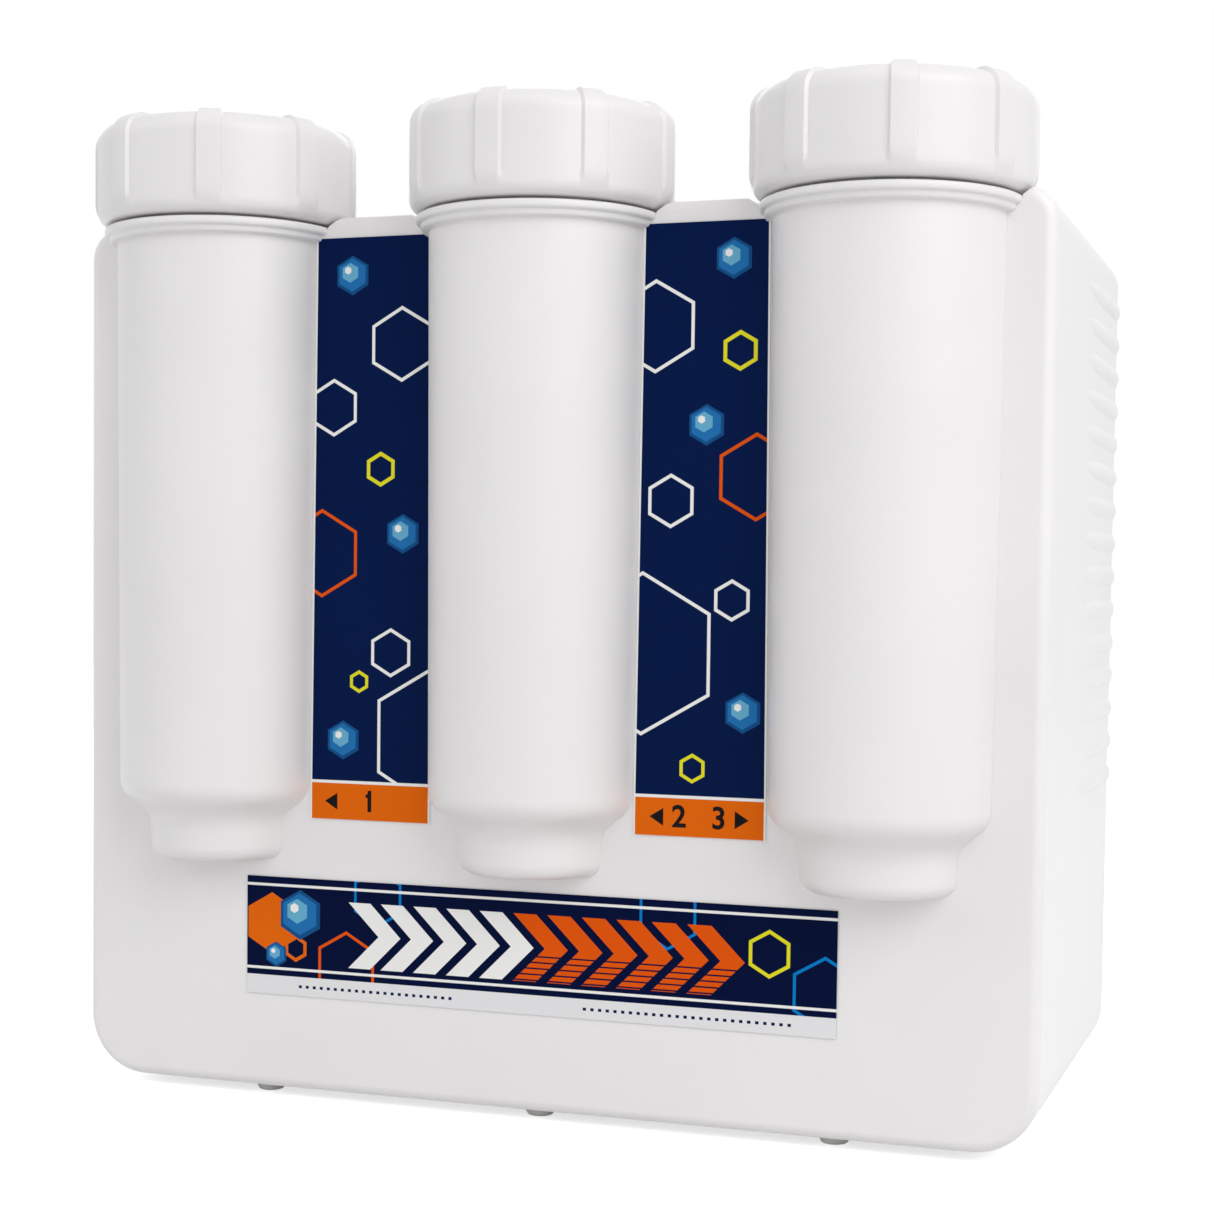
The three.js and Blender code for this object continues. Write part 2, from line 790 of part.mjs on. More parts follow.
function filterBracket() {
  const reach = caseSide - caseWall - bracketSideGap;
  const plate = box([-reach, bracketFront, bracketBottom], [reach, bracketBack, bracketTop]);
  const through = (x, z, radius) => (
    rod([x, bracketFront - overrun, z], [x, bracketBack + overrun, z], clearing(radius, fittingSides)));
  const portHoles = tubPlaces.flatMap((x) => [inletHeight, outletHeight].map((z) => (
    through(x, z, tubPortRadius + bracketHoleGap))));
  const screwHoles = bracketScrewPlaces.map(([x, z]) => through(x, z, screwShankRadius + fitGap));
  const clips = join([
    ...clipPair(housingRadius, membraneAxisZ), ...clipPair(postFilterRadius, postFilterAxisZ),
  ]);
  return cut(plate, [...portHoles, ...screwHoles]).add(clips);
}

const portPlaces = {
  feed: [feedPortX, feedPortZ],
  drain: [drainPortX, membraneAxisZ],
  tap: [tapPortX, postFilterAxisZ],
};

function rearCover() {
  const plate = slab(caseOutline(0), coverFront, coverBack);
  const through = (x, z, radius) => (
    rod([x, coverFront - overrun, z], [x, coverBack + overrun, z], clearing(radius, fittingSides)));
  const portHoles = Object.values(portPlaces).map(([x, z]) => through(x, z, portStemRadius + portHoleGap));
  const screwHoles = coverScrewPlaces.map(([x, z]) => through(x, z, screwShankRadius + fitGap));
  return cut(plate, [...portHoles, ...screwHoles]);
}

// Tube ports: a head outside the cover, a threaded stem through it, and a collet that lets the tube go
// when it is pushed in.

function tubePort(x, z) {
  const socket = clearing(portSocketRadius, fittingSides);
  const bore = clearing(portBoreRadius, fittingSides);
  const head = coverBack + fitGap;
  const body = revolve([
    [bore, portInnerEnd], [portStemRadius, portInnerEnd], [portStemRadius, head], [portHeadRadius, head],
    [portHeadRadius, portHeadBack], [socket, portHeadBack], [socket, portHeadBack - portSocketDepth],
    [bore, portHeadBack - portSocketDepth], [bore, portInnerEnd],
  ], fittingSides);
  return body.rotate([-90, 0, 0]).translate([x, 0, z]);
}

function tubeCollet(x, z) {
  const bore = clearing(colletBoreRadius, fittingSides);
  const flange = portHeadBack + colletTravel + fitGap;
  const tip = portHeadBack - colletShankLength;
  const body = revolve([
    [bore, tip], [colletShankRadius, tip], [colletShankRadius, flange], [colletFlangeRadius, flange],
    [colletFlangeRadius, flange + colletFlangeLength], [bore, flange + colletFlangeLength], [bore, tip],
  ], fittingSides);
  return body.rotate([-90, 0, 0]).translate([x, 0, z]);
}

// Storage tank and its valve

function storageTank() {
  const flank = tankLength - tankDome;
  const dome = (base, from, to) => arc(0, 0, 1, from, to, domeSteps)
    .map(([across, along]) => [across * tankRadius, base + along * tankDome]);
  const body = revolve([...dome(tankDome, -90, 0), ...dome(flank, 0, 90)], vesselSides);
  const neck = rod([0, 0, flank], [0, 0, tankLength + tankNeckLength], tankNeckRadius);
  return alongX(body.add(neck), tankLeft, tankAxisY, tankAxisZ);
}

// Two saddles joined by a pair of rails that lie on the floor of the case.
function tankCradle() {
  const floor = caseWall + fitGap;
  const saddleDepth = 2 * (tankRadius - saddleInset);
  const middle = tankLeft + tankLength / 2;
  const hollow = clearing(tankRadius + fitGap, vesselSides);
  const saddles = [-1, 1].map((side) => {
    const x = middle + (side * saddleSpacing) / 2;
    return box([x - saddleWidth / 2, tankAxisY - saddleDepth / 2, floor],
      [x + saddleWidth / 2, tankAxisY + saddleDepth / 2, floor + saddleHeight]);
  });
  const rails = [-1, 1].map((side) => {
    const y = tankAxisY + (side * (saddleDepth - cradleRailWidth)) / 2;
    return box([middle - saddleSpacing / 2, y - cradleRailWidth / 2, floor],
      [middle + saddleSpacing / 2, y + cradleRailWidth / 2, floor + cradleRailHeight]);
  });
  return cut(join([...saddles, ...rails]), [
    rod([middle - saddleSpacing, tankAxisY, tankAxisZ], [middle + saddleSpacing, tankAxisY, tankAxisZ],
      hollow, vesselSides),
  ]);
}

const valveFront = tankAxisY - valveDepth / 2;
const valveTop = tankAxisZ + valveHeight / 2;

function tankValve() {
  const body = box([valveX - valveWidth / 2, valveFront, tankAxisZ - valveHeight / 2],
    [valveX + valveWidth / 2, tankAxisY + valveDepth / 2, valveTop]);
  const spout = rod([valveX, tankAxisY, tankAxisZ], [valveX, tankAxisY, valveTop + valveSpoutHeight],
    stubRadius);
  const stem = rod([valveX, tankAxisY, tankAxisZ], [valveX, valveFront - leverThickness, tankAxisZ],
    leverPinRadius);
  return join([body, spout, stem]);
}

// The lever turns on the valve's stem. At rest it lies along the pipe, with the valve open.
function valveLever() {
  const back = valveFront - fitGap;
  const front = back - leverThickness;
  const hub = rod([valveX, front, tankAxisZ], [valveX, back, tankAxisZ], leverHubRadius, vesselSides);
  const arm = box([valveX, front, tankAxisZ - leverWidth / 2],
    [valveX + leverLength, back - leverThickness / 3, tankAxisZ + leverWidth / 2]);
  const hole = rod([valveX, front - overrun, tankAxisZ], [valveX, back + overrun, tankAxisZ],
    clearing(leverPinRadius + fitGap, fittingSides));
  return cut(hub.add(arm), [hole]);
}

// Membrane housing. Its open end faces left and its outlets are at the right end.

const housingFeedX = housingLeft + housingFeedInset;
const stubEndX = housingRight + stubLength;
const feedStubTop = membraneAxisZ + housingRadius + stubLength;

function membraneHousing() {
  const bore = clearing(housingBoreRadius, vesselSides);
  const inner = housingLength - housingEndWall;
  const body = alongX(revolve([
    [0, inner], [bore, inner], [bore, 0], [housingNeckRadius, 0], [housingNeckRadius, housingNeckLength],
    [housingRadius, housingNeckLength], [housingRadius, housingLength - housingEndEdge],
    [housingRadius - housingEndEdge, housingLength], [0, housingLength],
  ], vesselSides), housingLeft, vesselAxisY, membraneAxisZ);
  const inside = housingRight - housingEndWall;
  const stubs = [
    rod([inside + wallBite, vesselAxisY, membraneAxisZ], [stubEndX, vesselAxisY, membraneAxisZ], stubRadius),
    rod([inside + wallBite, vesselAxisY + concentrateOffset, membraneAxisZ],
      [stubEndX, vesselAxisY + concentrateOffset, membraneAxisZ], stubRadius),
    rod([housingFeedX, vesselAxisY, membraneAxisZ + housingBoreRadius + wallBite],
      [housingFeedX, vesselAxisY, feedStubTop], stubRadius),
  ];
  const holes = [
    rod([inside - overrun, vesselAxisY, membraneAxisZ], [stubEndX + overrun, vesselAxisY, membraneAxisZ],
      waterwayRadius),
    rod([inside - overrun, vesselAxisY + concentrateOffset, membraneAxisZ],
      [stubEndX + overrun, vesselAxisY + concentrateOffset, membraneAxisZ], waterwayRadius),
    rod([housingFeedX, vesselAxisY, membraneAxisZ + housingBoreRadius - wallBite],
      [housingFeedX, vesselAxisY, feedStubTop + overrun], waterwayRadius),
  ];
  return cut(join([body, ...stubs]), holes);
}

const housingGrooveEnd = housingPlugDepth - housingGrooveInset;
const housingGrooveStart = housingGrooveEnd - housingGrooveHeight;

function membraneCap() {
  const bore = clearing(housingCapBoreRadius, vesselSides);
  const outside = -housingCapEnd;
  const seatFace = -fitGap;
  return alongX(revolve([
    [0, outside], [housingCapRadius - housingCapEdge, outside], [housingCapRadius, outside + housingCapEdge],
    [housingCapRadius, housingCapOverlap], [bore, housingCapOverlap], [bore, seatFace],
    [housingPlugRadius, seatFace], [housingPlugRadius, housingGrooveStart],
    [housingGrooveRadius, housingGrooveStart], [housingGrooveRadius, housingGrooveEnd],
    [housingPlugRadius, housingGrooveEnd], [housingPlugRadius, housingPlugDepth],
    [housingPlugBoreRadius, housingPlugDepth], [housingPlugBoreRadius, outside + housingCapFloor],
    [0, outside + housingCapFloor],
  ], vesselSides), housingLeft, vesselAxisY, membraneAxisZ);
}

function membraneCapSeal() {
  return alongX(ring(housingGrooveRadius + fitGap, housingBoreRadius - fitGap, housingGrooveStart + fitGap,
    housingGrooveEnd - fitGap, vesselSides), housingLeft, vesselAxisY, membraneAxisZ);
}

// The element's core tube stands out of the wrap at both ends and ends just short of the housing's wall.
function membraneElement() {
  const end = housingLength - housingEndWall - fitGap;
  const start = housingPlugDepth + elementPlugGap;
  const wrapStart = start + elementWrapInset;
  const wrapEnd = end - elementWrapInset;
  return alongX(revolve([
    [0, start], [elementCoreRadius, start], [elementCoreRadius, wrapStart], [elementSealRadius, wrapStart],
    [elementSealRadius, wrapStart + elementSealWidth], [elementRadius, wrapStart + elementSealWidth],
    [elementRadius, wrapEnd], [elementCoreRadius, wrapEnd], [elementCoreRadius, end], [0, end],
  ], vesselSides), housingLeft, vesselAxisY, membraneAxisZ);
}

function postFilter() {
  const edge = postFilterEdge;
  const body = revolve([
    [0, -stubLength], [stubRadius, -stubLength], [stubRadius, 0], [postFilterRadius - edge, 0],
    [postFilterRadius, edge], [postFilterRadius, postFilterLength - edge],
    [postFilterRadius - edge, postFilterLength], [stubRadius, postFilterLength],
    [stubRadius, postFilterLength + stubLength], [0, postFilterLength + stubLength],
  ], vesselSides);
  return alongX(body, postFilterLeft, vesselAxisY, postFilterAxisZ);
}

// Spring clips moulded on the bracket: each has two arms that leave a mouth at the back.
function clipPair(vesselRadius, z) {
  const half = clipMouthAngle / 2;
  const halfStep = THREE.MathUtils.degToRad((fullTurn / 2 - half) / clipSteps);
  const inner = (vesselRadius + fitGap) / Math.cos(halfStep);
  const outer = inner + clipThickness;
  const section = outlineShape([
    ...arc(0, 0, outer, half, fullTurn - half, clipSteps),
    ...arc(0, 0, inner, fullTurn - half, half, clipSteps),
  ]);
  return [-1, 1].map((side) => {
    const x = (side * clipSpacing) / 2 - clipWidth / 2;
    const arms = new THREE.ExtrudeGeometry(section, { depth: clipWidth, bevelEnabled: false });
    arms.rotateY(Math.PI / 2);
    arms.rotateX(Math.PI / 2);
    arms.translate(x, vesselAxisY, z);
    const base = box([x, bracketBack - bracketThickness / 2, z - clipBaseWidth / 2],
      [x + clipWidth, vesselAxisY - inner - clipThickness / 2, z + clipBaseWidth / 2]);
    return solidOf(arms).add(base);
  });
}

// Fittings

// An elbow of two round arms that meet in a ball.
function elbow(corner, firstEnd, secondEnd) {
  const ball = new THREE.SphereGeometry(fittingRadius, fittingSides, fittingSides / 2);
  ball.translate(...corner);
  return join([solidOf(ball), rod(corner, firstEnd, fittingRadius), rod(corner, secondEnd, fittingRadius)]);
}

const teeX = postFilterRight + stubLength + fitGap + fittingReach;

// The tee takes the product water in at its top, and passes it to the post filter and the tank.
function productTee() {
  const middle = [teeX, vesselAxisY, postFilterAxisZ];
  return join([
    elbow(middle, [teeX - fittingReach, vesselAxisY, postFilterAxisZ],
      [teeX, vesselAxisY, postFilterAxisZ + fittingReach]),
    rod(middle, [teeX, vesselAxisY + fittingReach, postFilterAxisZ], fittingRadius),
  ]);
}

const shutoffLowZ = shutoffAxisZ - shutoffPortRise;
const shutoffHighZ = shutoffAxisZ + shutoffPortRise;
const shutoffMouthX = shutoffWidth / 2;

function shutoffValve() {
  const bodyHalf = shutoffMouthX - stubLength;
  const half = shutoffAxisY - bracketBack - fitGap;
  const body = box([-bodyHalf, shutoffAxisY - half, shutoffAxisZ - shutoffHeight / 2],
    [bodyHalf, shutoffAxisY + half, shutoffAxisZ + shutoffHeight / 2]);
  const arms = [shutoffLowZ, shutoffHighZ].map((z) => (
    rod([-shutoffMouthX, shutoffAxisY, z], [shutoffMouthX, shutoffAxisY, z], stubRadius)));
  return join([body, ...arms]);
}

const checkValveX = stubEndX + fitGap + checkValveReach;

function checkValve() {
  return elbow([checkValveX, vesselAxisY, membraneAxisZ],
    [stubEndX + fitGap, vesselAxisY, membraneAxisZ],
    [checkValveX, vesselAxisY, membraneAxisZ + checkValveReach]);
}

const concentrateY = vesselAxisY + concentrateOffset;
const restrictorEnd = stubEndX + fitGap + restrictorLength;

function flowRestrictor() {
  return rod([stubEndX + fitGap, concentrateY, membraneAxisZ], [restrictorEnd, concentrateY, membraneAxisZ],
    restrictorRadius);
}

// Tubing

// A tube that runs straight between the given points and bends round the corners between them.
function tube(points, bend = tubeBend) {
  const corners = points.map((point) => new THREE.Vector3(...point));
  const route = new THREE.CurvePath();
  let from = corners[0];
  for (let i = 1; i < corners.length - 1; i += 1) {
    const corner = corners[i];
    const before = Math.min(bend, corner.distanceTo(corners[i - 1]) / 2);
    const after = Math.min(bend, corner.distanceTo(corners[i + 1]) / 2);
    const bendStart = corners[i - 1].clone().sub(corner).setLength(before).add(corner);
    const bendEnd = corners[i + 1].clone().sub(corner).setLength(after).add(corner);
    route.add(new THREE.LineCurve3(from, bendStart));
    route.add(new THREE.QuadraticBezierCurve3(bendStart, corner, bendEnd));
    from = bendEnd;
  }
  route.add(new THREE.LineCurve3(from, corners[corners.length - 1]));
  const section = outlineShape(arc(0, 0, tubeRadius, 0, fullTurn - fullTurn / tubeSides, tubeSides - 1));
  const geometry = new THREE.ExtrudeGeometry(section, {
    steps: Math.max(1, Math.round(route.getLength() / tubeStep)), extrudePath: route,
  });
  return solidOf(geometry);
}

const tubMouthY = tubPortEnd + fitGap;
const riserX = tubSpacing + 2 * tubeBend;
const shutoffGap = shutoffMouthX + fitGap;
const portMouthY = portInnerEnd - fitGap;

function feedTube() {
  return tube([[feedPortX, portMouthY, feedPortZ], [feedPortX, linkLayerY, feedPortZ],
    [feedPortX, linkLayerY, inletHeight], [-tubSpacing, linkLayerY, inletHeight],
    [-tubSpacing, tubMouthY, inletHeight]]);
}

// From the outlet of one tub to the inlet of the next.
function tubLinkTube(x) {
  const next = x + tubSpacing;
  const lead = 2 * tubeBend;
  return tube([[x, tubMouthY, outletHeight], [x, linkLayerY, outletHeight],
    [x + lead, linkLayerY, outletHeight], [next - lead, linkLayerY, inletHeight],
    [next, linkLayerY, inletHeight], [next, tubMouthY, inletHeight]]);
}

function riserTube() {
  return tube([[tubSpacing, tubMouthY, outletHeight], [tubSpacing, linkLayerY, outletHeight],
    [riserX, linkLayerY, outletHeight], [riserX, shutoffAxisY, shutoffLowZ],
    [shutoffGap, shutoffAxisY, shutoffLowZ]]);
}

function membraneFeedTube() {
  const drop = vesselAxisY - shutoffAxisY;
  const end = feedStubTop + fitGap;
  return tube([[-shutoffGap, shutoffAxisY, shutoffLowZ], [housingFeedX, shutoffAxisY, shutoffLowZ],
    [housingFeedX, shutoffAxisY, end + tubeBend + drop], [housingFeedX, vesselAxisY, end + tubeBend],
    [housingFeedX, vesselAxisY, end]], tightBend);
}

function permeateTube() {
  const turnIn = (checkValveX + shutoffGap) / 2;
  return tube([[checkValveX, vesselAxisY, membraneAxisZ + checkValveReach + fitGap],
    [checkValveX, vesselAxisY, shutoffHighZ], [turnIn, shutoffAxisY, shutoffHighZ],
    [shutoffGap, shutoffAxisY, shutoffHighZ]]);
}

function productTube() {
  const loopX = -shutoffGap - 2 * tubeBend;
  const layer = shutoffLowZ - productDrop;
  return tube([[-shutoffGap, shutoffAxisY, shutoffHighZ], [loopX, shutoffAxisY, shutoffHighZ],
    [loopX, tankAxisY, layer], [teeX, tankAxisY, layer], [teeX, vesselAxisY, layer],
    [teeX, vesselAxisY, postFilterAxisZ + fittingReach + fitGap]]);
}

function tankTube() {
  const jogTop = postFilterAxisZ - 2 * tubeBend;
  return tube([[teeX, vesselAxisY + fittingReach + fitGap, postFilterAxisZ],
    [teeX, tankAxisY, postFilterAxisZ], [teeX, tankAxisY, jogTop],
    [valveX, tankAxisY, jogTop - (valveX - teeX)],
    [valveX, tankAxisY, valveTop + valveSpoutHeight + fitGap]]);
}

function drainTube() {
  return tube([[restrictorEnd + fitGap, concentrateY, membraneAxisZ],
    [drainPortX, concentrateY, membraneAxisZ], [drainPortX, portMouthY, membraneAxisZ]], tightBend);
}

function tapTube() {
  return tube([[postFilterLeft - stubLength - fitGap, vesselAxisY, postFilterAxisZ],
    [tapPortX, vesselAxisY, postFilterAxisZ], [tapPortX, portMouthY, postFilterAxisZ]]);
}

// Assembly

const assembly = new THREE.Group();

function place(name, solid, material, position = [0, 0, 0], turn = 0) {
  const mesh = new THREE.Mesh(geometryOf(solid), material);
  mesh.name = name;
  mesh.position.set(...position);
  mesh.rotation.z = turn;
  assembly.add(mesh);
}

const tubNames = ['left', 'middle', 'right'];

place('case_shell', caseShell(), warmWhite);
place('rear_cover', rearCover(), warmWhite);
coverScrewPlaces.forEach(([x, z], i) => {
  place(`cover_screw_${i + 1}`, screw(), screwSteel, [x, coverBack, z]);
});
footPlaces.forEach(([x, y], i) => {
  const row = i < tubNames.length ? 'front' : 'rear';
  place(`foot_${row}_${tubNames[i % tubNames.length]}`, rubberFoot(), greyRubber, [x, y, 0]);
});
place('label_left', uprightLabel(-tubSpacing), navyPrint);
place('label_right', uprightLabel(0), navyPrint);
place('label_banner', bannerLabel(), navyPrint);

// Each cap stands at the turn where its thread came home, so their ribs don't line up.
const capTurns = [21, -2, 16];
const cartridges = [
  ['sediment_cartridge', spunCartridge(), spunWhite],
  ['carbon_cartridge', blockCartridge(), carbonBlack],
  ['polishing_cartridge', spunCartridge(), spunWhite],
];
for (let i = 0; i < tubPlaces.length; i += 1) {
  const axis = [tubPlaces[i], tubAxisY, 0];
  const [cartridgeName, cartridge, cartridgeMaterial] = cartridges[i];
  place(`filter_tub_${tubNames[i]}`, filterTub(), warmWhite, axis);
  place(`tub_cap_${tubNames[i]}`, screwCap(), warmWhite, axis, THREE.MathUtils.degToRad(capTurns[i]));
  place(`cap_seal_${tubNames[i]}`, capSeal(), blackRubber, axis);
  place(cartridgeName, cartridge, cartridgeMaterial, axis);
}

place('filter_bracket', filterBracket(), fittingGrey);
bracketScrewPlaces.forEach(([x, z], i) => {
  place(`bracket_screw_${i + 1}`, screw(), screwSteel, [x, bracketBack, z]);
});

place('storage_tank', storageTank(), tankBlue);
place('tank_cradle', tankCradle(), coolWhite);
place('tank_valve', tankValve(), coolWhite);
place('tank_valve_lever', valveLever(), leverBlue);

place('membrane_housing', membraneHousing(), coolWhite);
place('membrane_cap', membraneCap(), coolWhite);
place('membrane_cap_seal', membraneCapSeal(), blackRubber);
place('membrane_element', membraneElement(), spunWhite);
place('post_filter', postFilter(), coolWhite);

place('product_tee', productTee(), fittingGrey);
place('shutoff_valve', shutoffValve(), coolWhite);
place('check_valve', checkValve(), fittingGrey);
place('flow_restrictor', flowRestrictor(), fittingGrey);

place('feed_tube', feedTube(), tubingWhite);
place('tub_link_tube_left', tubLinkTube(-tubSpacing), tubingWhite);
place('tub_link_tube_right', tubLinkTube(0), tubingWhite);
place('riser_tube', riserTube(), tubingWhite);
place('membrane_feed_tube', membraneFeedTube(), tubingWhite);
place('permeate_tube', permeateTube(), tubingWhite);
place('product_tube', productTube(), tubingWhite);
place('tank_tube', tankTube(), tubingWhite);
place('drain_tube', drainTube(), tubingWhite);
place('tap_tube', tapTube(), tubingWhite);

for (const [name, [x, z]] of Object.entries(portPlaces)) {
  place(`${name}_port`, tubePort(x, z), fittingGrey);
  place(`${name}_collet`, tubeCollet(x, z), colletBlue);
}

// The part's origin is on the floor, in the middle of its width and depth.
const extent = new THREE.Box3().setFromObject(assembly, true);
assembly.position.set(0, -(extent.min.y + extent.max.y) / 2, footHeight);

export default assembly;
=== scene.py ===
import math

import bmesh
import bpy
from mathutils import Matrix, Vector


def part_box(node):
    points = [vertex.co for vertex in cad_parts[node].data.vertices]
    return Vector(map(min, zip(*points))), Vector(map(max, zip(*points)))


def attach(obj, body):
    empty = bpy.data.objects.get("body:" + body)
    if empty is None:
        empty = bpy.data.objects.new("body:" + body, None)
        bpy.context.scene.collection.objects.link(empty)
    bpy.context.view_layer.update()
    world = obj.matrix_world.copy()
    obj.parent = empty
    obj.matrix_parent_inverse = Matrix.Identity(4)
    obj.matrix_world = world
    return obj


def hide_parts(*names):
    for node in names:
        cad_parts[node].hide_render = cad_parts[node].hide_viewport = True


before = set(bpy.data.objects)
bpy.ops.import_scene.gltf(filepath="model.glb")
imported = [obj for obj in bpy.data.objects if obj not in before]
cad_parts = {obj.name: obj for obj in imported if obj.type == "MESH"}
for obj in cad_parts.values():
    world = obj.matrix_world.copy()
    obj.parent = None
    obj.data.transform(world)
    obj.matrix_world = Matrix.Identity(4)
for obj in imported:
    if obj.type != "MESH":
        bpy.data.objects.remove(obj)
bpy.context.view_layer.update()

# Case: the open-backed white body of moulded plastic that everything else is fixed to. Its front
# panel has three tall openings that the tubs fill, with a dished seat over each, and its sides have
# low rounded ribs to lift it by. Bosses for the screws stand on its inner walls.
case_wall = 3
case_side = 202
case_height = 358
case_depth = 191.3965
case_bottom_radius = 25
case_top_radius = 13
case_front_radius = 4.5
tub_spacing = 140
tub_places = {"left": -tub_spacing, "middle": 0, "right": tub_spacing}
tub_axis_y = 6.2
fit_gap = 0.3
tub_gap = 0.03
around = 96
merge_distance = 0.0005
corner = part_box("case_shell")[0]
# Sizes are millimetres from the middle of the front panel's foot, and this puts them on the frame.
case_place = Matrix.Translation((0, corner.y, corner.z)) @ Matrix.Scale(0.001, 4)
along_x = Matrix.Rotation(math.pi / 2, 4, "Y")
along_y = Matrix.Rotation(-math.pi / 2, 4, "X")


def block(low, high):
    """A rectangular block between two opposite corners."""
    shape = bmesh.new()
    bmesh.ops.create_cube(shape, size=1)
    low, high = Vector(low), Vector(high)
    bmesh.ops.scale(shape, vec=high - low, verts=shape.verts)
    bmesh.ops.translate(shape, vec=(low + high) / 2, verts=shape.verts)
    return shape


def eased(shape, edges, radius, steps=4):
    """Rounds some of a shape's edges."""
    bmesh.ops.bevel(shape, geom=edges, offset=radius, offset_type="OFFSET", segments=steps,
                    profile=0.5, affect="EDGES", material=-1)


def blended(points, shares):
    """The sum of some points in given shares."""
    return sum((point * share for point, share in zip(points, shares)), Vector((0, 0)))


def rounded(corners, steps=5):
    """Points of an outline of (radius, height, how far back its corner is rounded)."""
    points = []
    for i, (radius, height, ease) in enumerate(corners):
        here = Vector((radius, height))
        if not ease:
            points.append((radius, height))
            continue
        back = (Vector(corners[i - 1][:2]) - here).normalized()
        ahead = (Vector(corners[(i + 1) % len(corners)][:2]) - here).normalized()
        pull = math.sin(back.angle(ahead) / 2)
        for k in range(steps + 1):
            t = k / steps
            shares = (1 - t) ** 2, 2 * pull * t * (1 - t), t * t
            ends = here + back * ease, here, here + ahead * ease
            points.append(tuple(blended(ends, shares) / sum(shares)))
    return points


def turned(outline, steps=around):
    """An outline of (radius, height) turned about the Z axis. It ends on the axis or closes on itself."""
    shape = bmesh.new()
    points = [shape.verts.new((radius, 0, height)) for radius, height in outline]
    after = points[1:] + points[:1] if outline[0][0] else points[1:]
    for here, there in zip(points, after):
        shape.edges.new((here, there))
    bmesh.ops.spin(shape, geom=shape.verts[:] + shape.edges[:], cent=(0, 0, 0), axis=(0, 0, 1),
                   angle=2 * math.pi, steps=steps, use_merge=True)
    bmesh.ops.remove_doubles(shape, verts=shape.verts, dist=merge_distance)
    bmesh.ops.recalc_face_normals(shape, faces=shape.faces)
    return shape


def rod(radius, low, high, steps=32):
    """A plain round bar or drill about the Z axis."""
    return turned([(0, low), (radius, low), (radius, high), (0, high)], steps)


def placed(shape, place, turn=Matrix()):
    """A copy of a shape, turned and then put at a place."""
    copy = shape.copy()
    copy.transform(Matrix.Translation(place) @ turn)
    return copy


def as_mesh(name, shape):
    """The shape as a mesh of its own. The shape itself is used up."""
    mesh = bpy.data.meshes.new(name)
    shape.to_mesh(mesh)
    shape.free()
    return mesh


def set_out(name, data):
    """A new object in the scene."""
    item = bpy.data.objects.new(name, data)
    bpy.context.scene.collection.objects.link(item)
    return item


def gathered(shapes):
    """Separate shapes as one, to join or to cut away together."""
    whole = bmesh.new()
    for shape in shapes:
        mesh = as_mesh("loose", shape)
        whole.from_mesh(mesh)
        bpy.data.meshes.remove(mesh)
    return whole


def worked(whole, tool, operation):
    """The shape with the tool joined to it (UNION), cut from it (DIFFERENCE) or shared (INTERSECT)."""
    pair = [set_out("bench", as_mesh("bench", shape)) for shape in (whole, tool)]
    step = pair[0].modifiers.new("work", "BOOLEAN")
    step.object = pair[1]
    step.operation = operation
    step.solver = "EXACT"
    result = bmesh.new()
    result.from_object(pair[0], bpy.context.evaluated_depsgraph_get())
    for item in pair:
        mesh = item.data
        bpy.data.objects.remove(item)
        bpy.data.meshes.remove(mesh)
    return result


def fitted(name, shape, finishes, slot, body, *nodes, sharp=32):
    """Puts a finished shape in the scene as a piece that rides on a body and stands for CAD nodes."""
    bmesh.ops.remove_doubles(shape, verts=shape.verts, dist=merge_distance)
    bmesh.ops.dissolve_degenerate(shape, edges=shape.edges, dist=merge_distance)
    for face in shape.faces:
        face.smooth = True
    for edge in shape.edges:
        edge.smooth = edge.calc_face_angle(0) < math.radians(sharp)
    shape.transform(case_place)
    mesh = as_mesh(name, shape)
    for finish in finishes if isinstance(finishes, list) else [finishes]:
        mesh.materials.append(finish)
    piece = set_out(name, mesh)
    shading = piece.modifiers.new("shading", "WEIGHTED_NORMAL")
    shading.keep_sharp = True
    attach(piece, body)
    if nodes:
        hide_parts(*nodes)


def shade(red, green, blue):
    """A colour as a screen shows it, from 0 to 255."""
    parts = (part / 255 for part in (red, green, blue))
    return (*(p / 12.92 if p < 0.0405 else ((p + 0.055) / 1.055) ** 2.4 for p in parts), 1)


def added(tree, kind, values=None, **settings):
    """A node of a material or group, with its settings and the values of its sockets."""
    made = tree.nodes.new(kind)
    for key, value in settings.items():
        setattr(made, key, value)
    for key, value in (values or {}).items():
        made.inputs[key].default_value = value
    return made


def new_group(name, inputs, outputs):
    """An empty node group, with its input and output nodes."""
    group = bpy.data.node_groups.new(name, "ShaderNodeTree")
    for socket, kind in inputs.items():
        group.interface.new_socket(socket, in_out="INPUT", socket_type="NodeSocket" + kind)
    for socket, kind in outputs.items():
        group.interface.new_socket(socket, in_out="OUTPUT", socket_type="NodeSocket" + kind)
    return group, added(group, "NodeGroupInput"), added(group, "NodeGroupOutput")


# The skin of a moulding: cloudy variation of its colour from the flow of the plastic, and the fine
# grain that the mould's spark-eroded steel leaves on it.
moulded_skin, given, result = new_group(
    "moulded skin",
    {"Colour": "Color", "Cloud": "Float", "Cloud scale": "Float", "Gloss": "Float", "Gloss range": "Float",
     "Grain scale": "Float", "Grain height": "Float"},
    {"Colour": "Color", "Roughness": "Float", "Normal": "Vector"})
where = added(moulded_skin, "ShaderNodeTexCoord")
cloud = added(moulded_skin, "ShaderNodeTexNoise", {"Detail": 3})
low = added(moulded_skin, "ShaderNodeMath", {0: 1}, operation="SUBTRACT")
spread = added(moulded_skin, "ShaderNodeMapRange", {"From Min": 0.3, "From Max": 0.7, "To Max": 1})
tint = added(moulded_skin, "ShaderNodeVectorMath", operation="SCALE")
grain = added(moulded_skin, "ShaderNodeTexNoise", {"Detail": 2, "Roughness": 0.6})
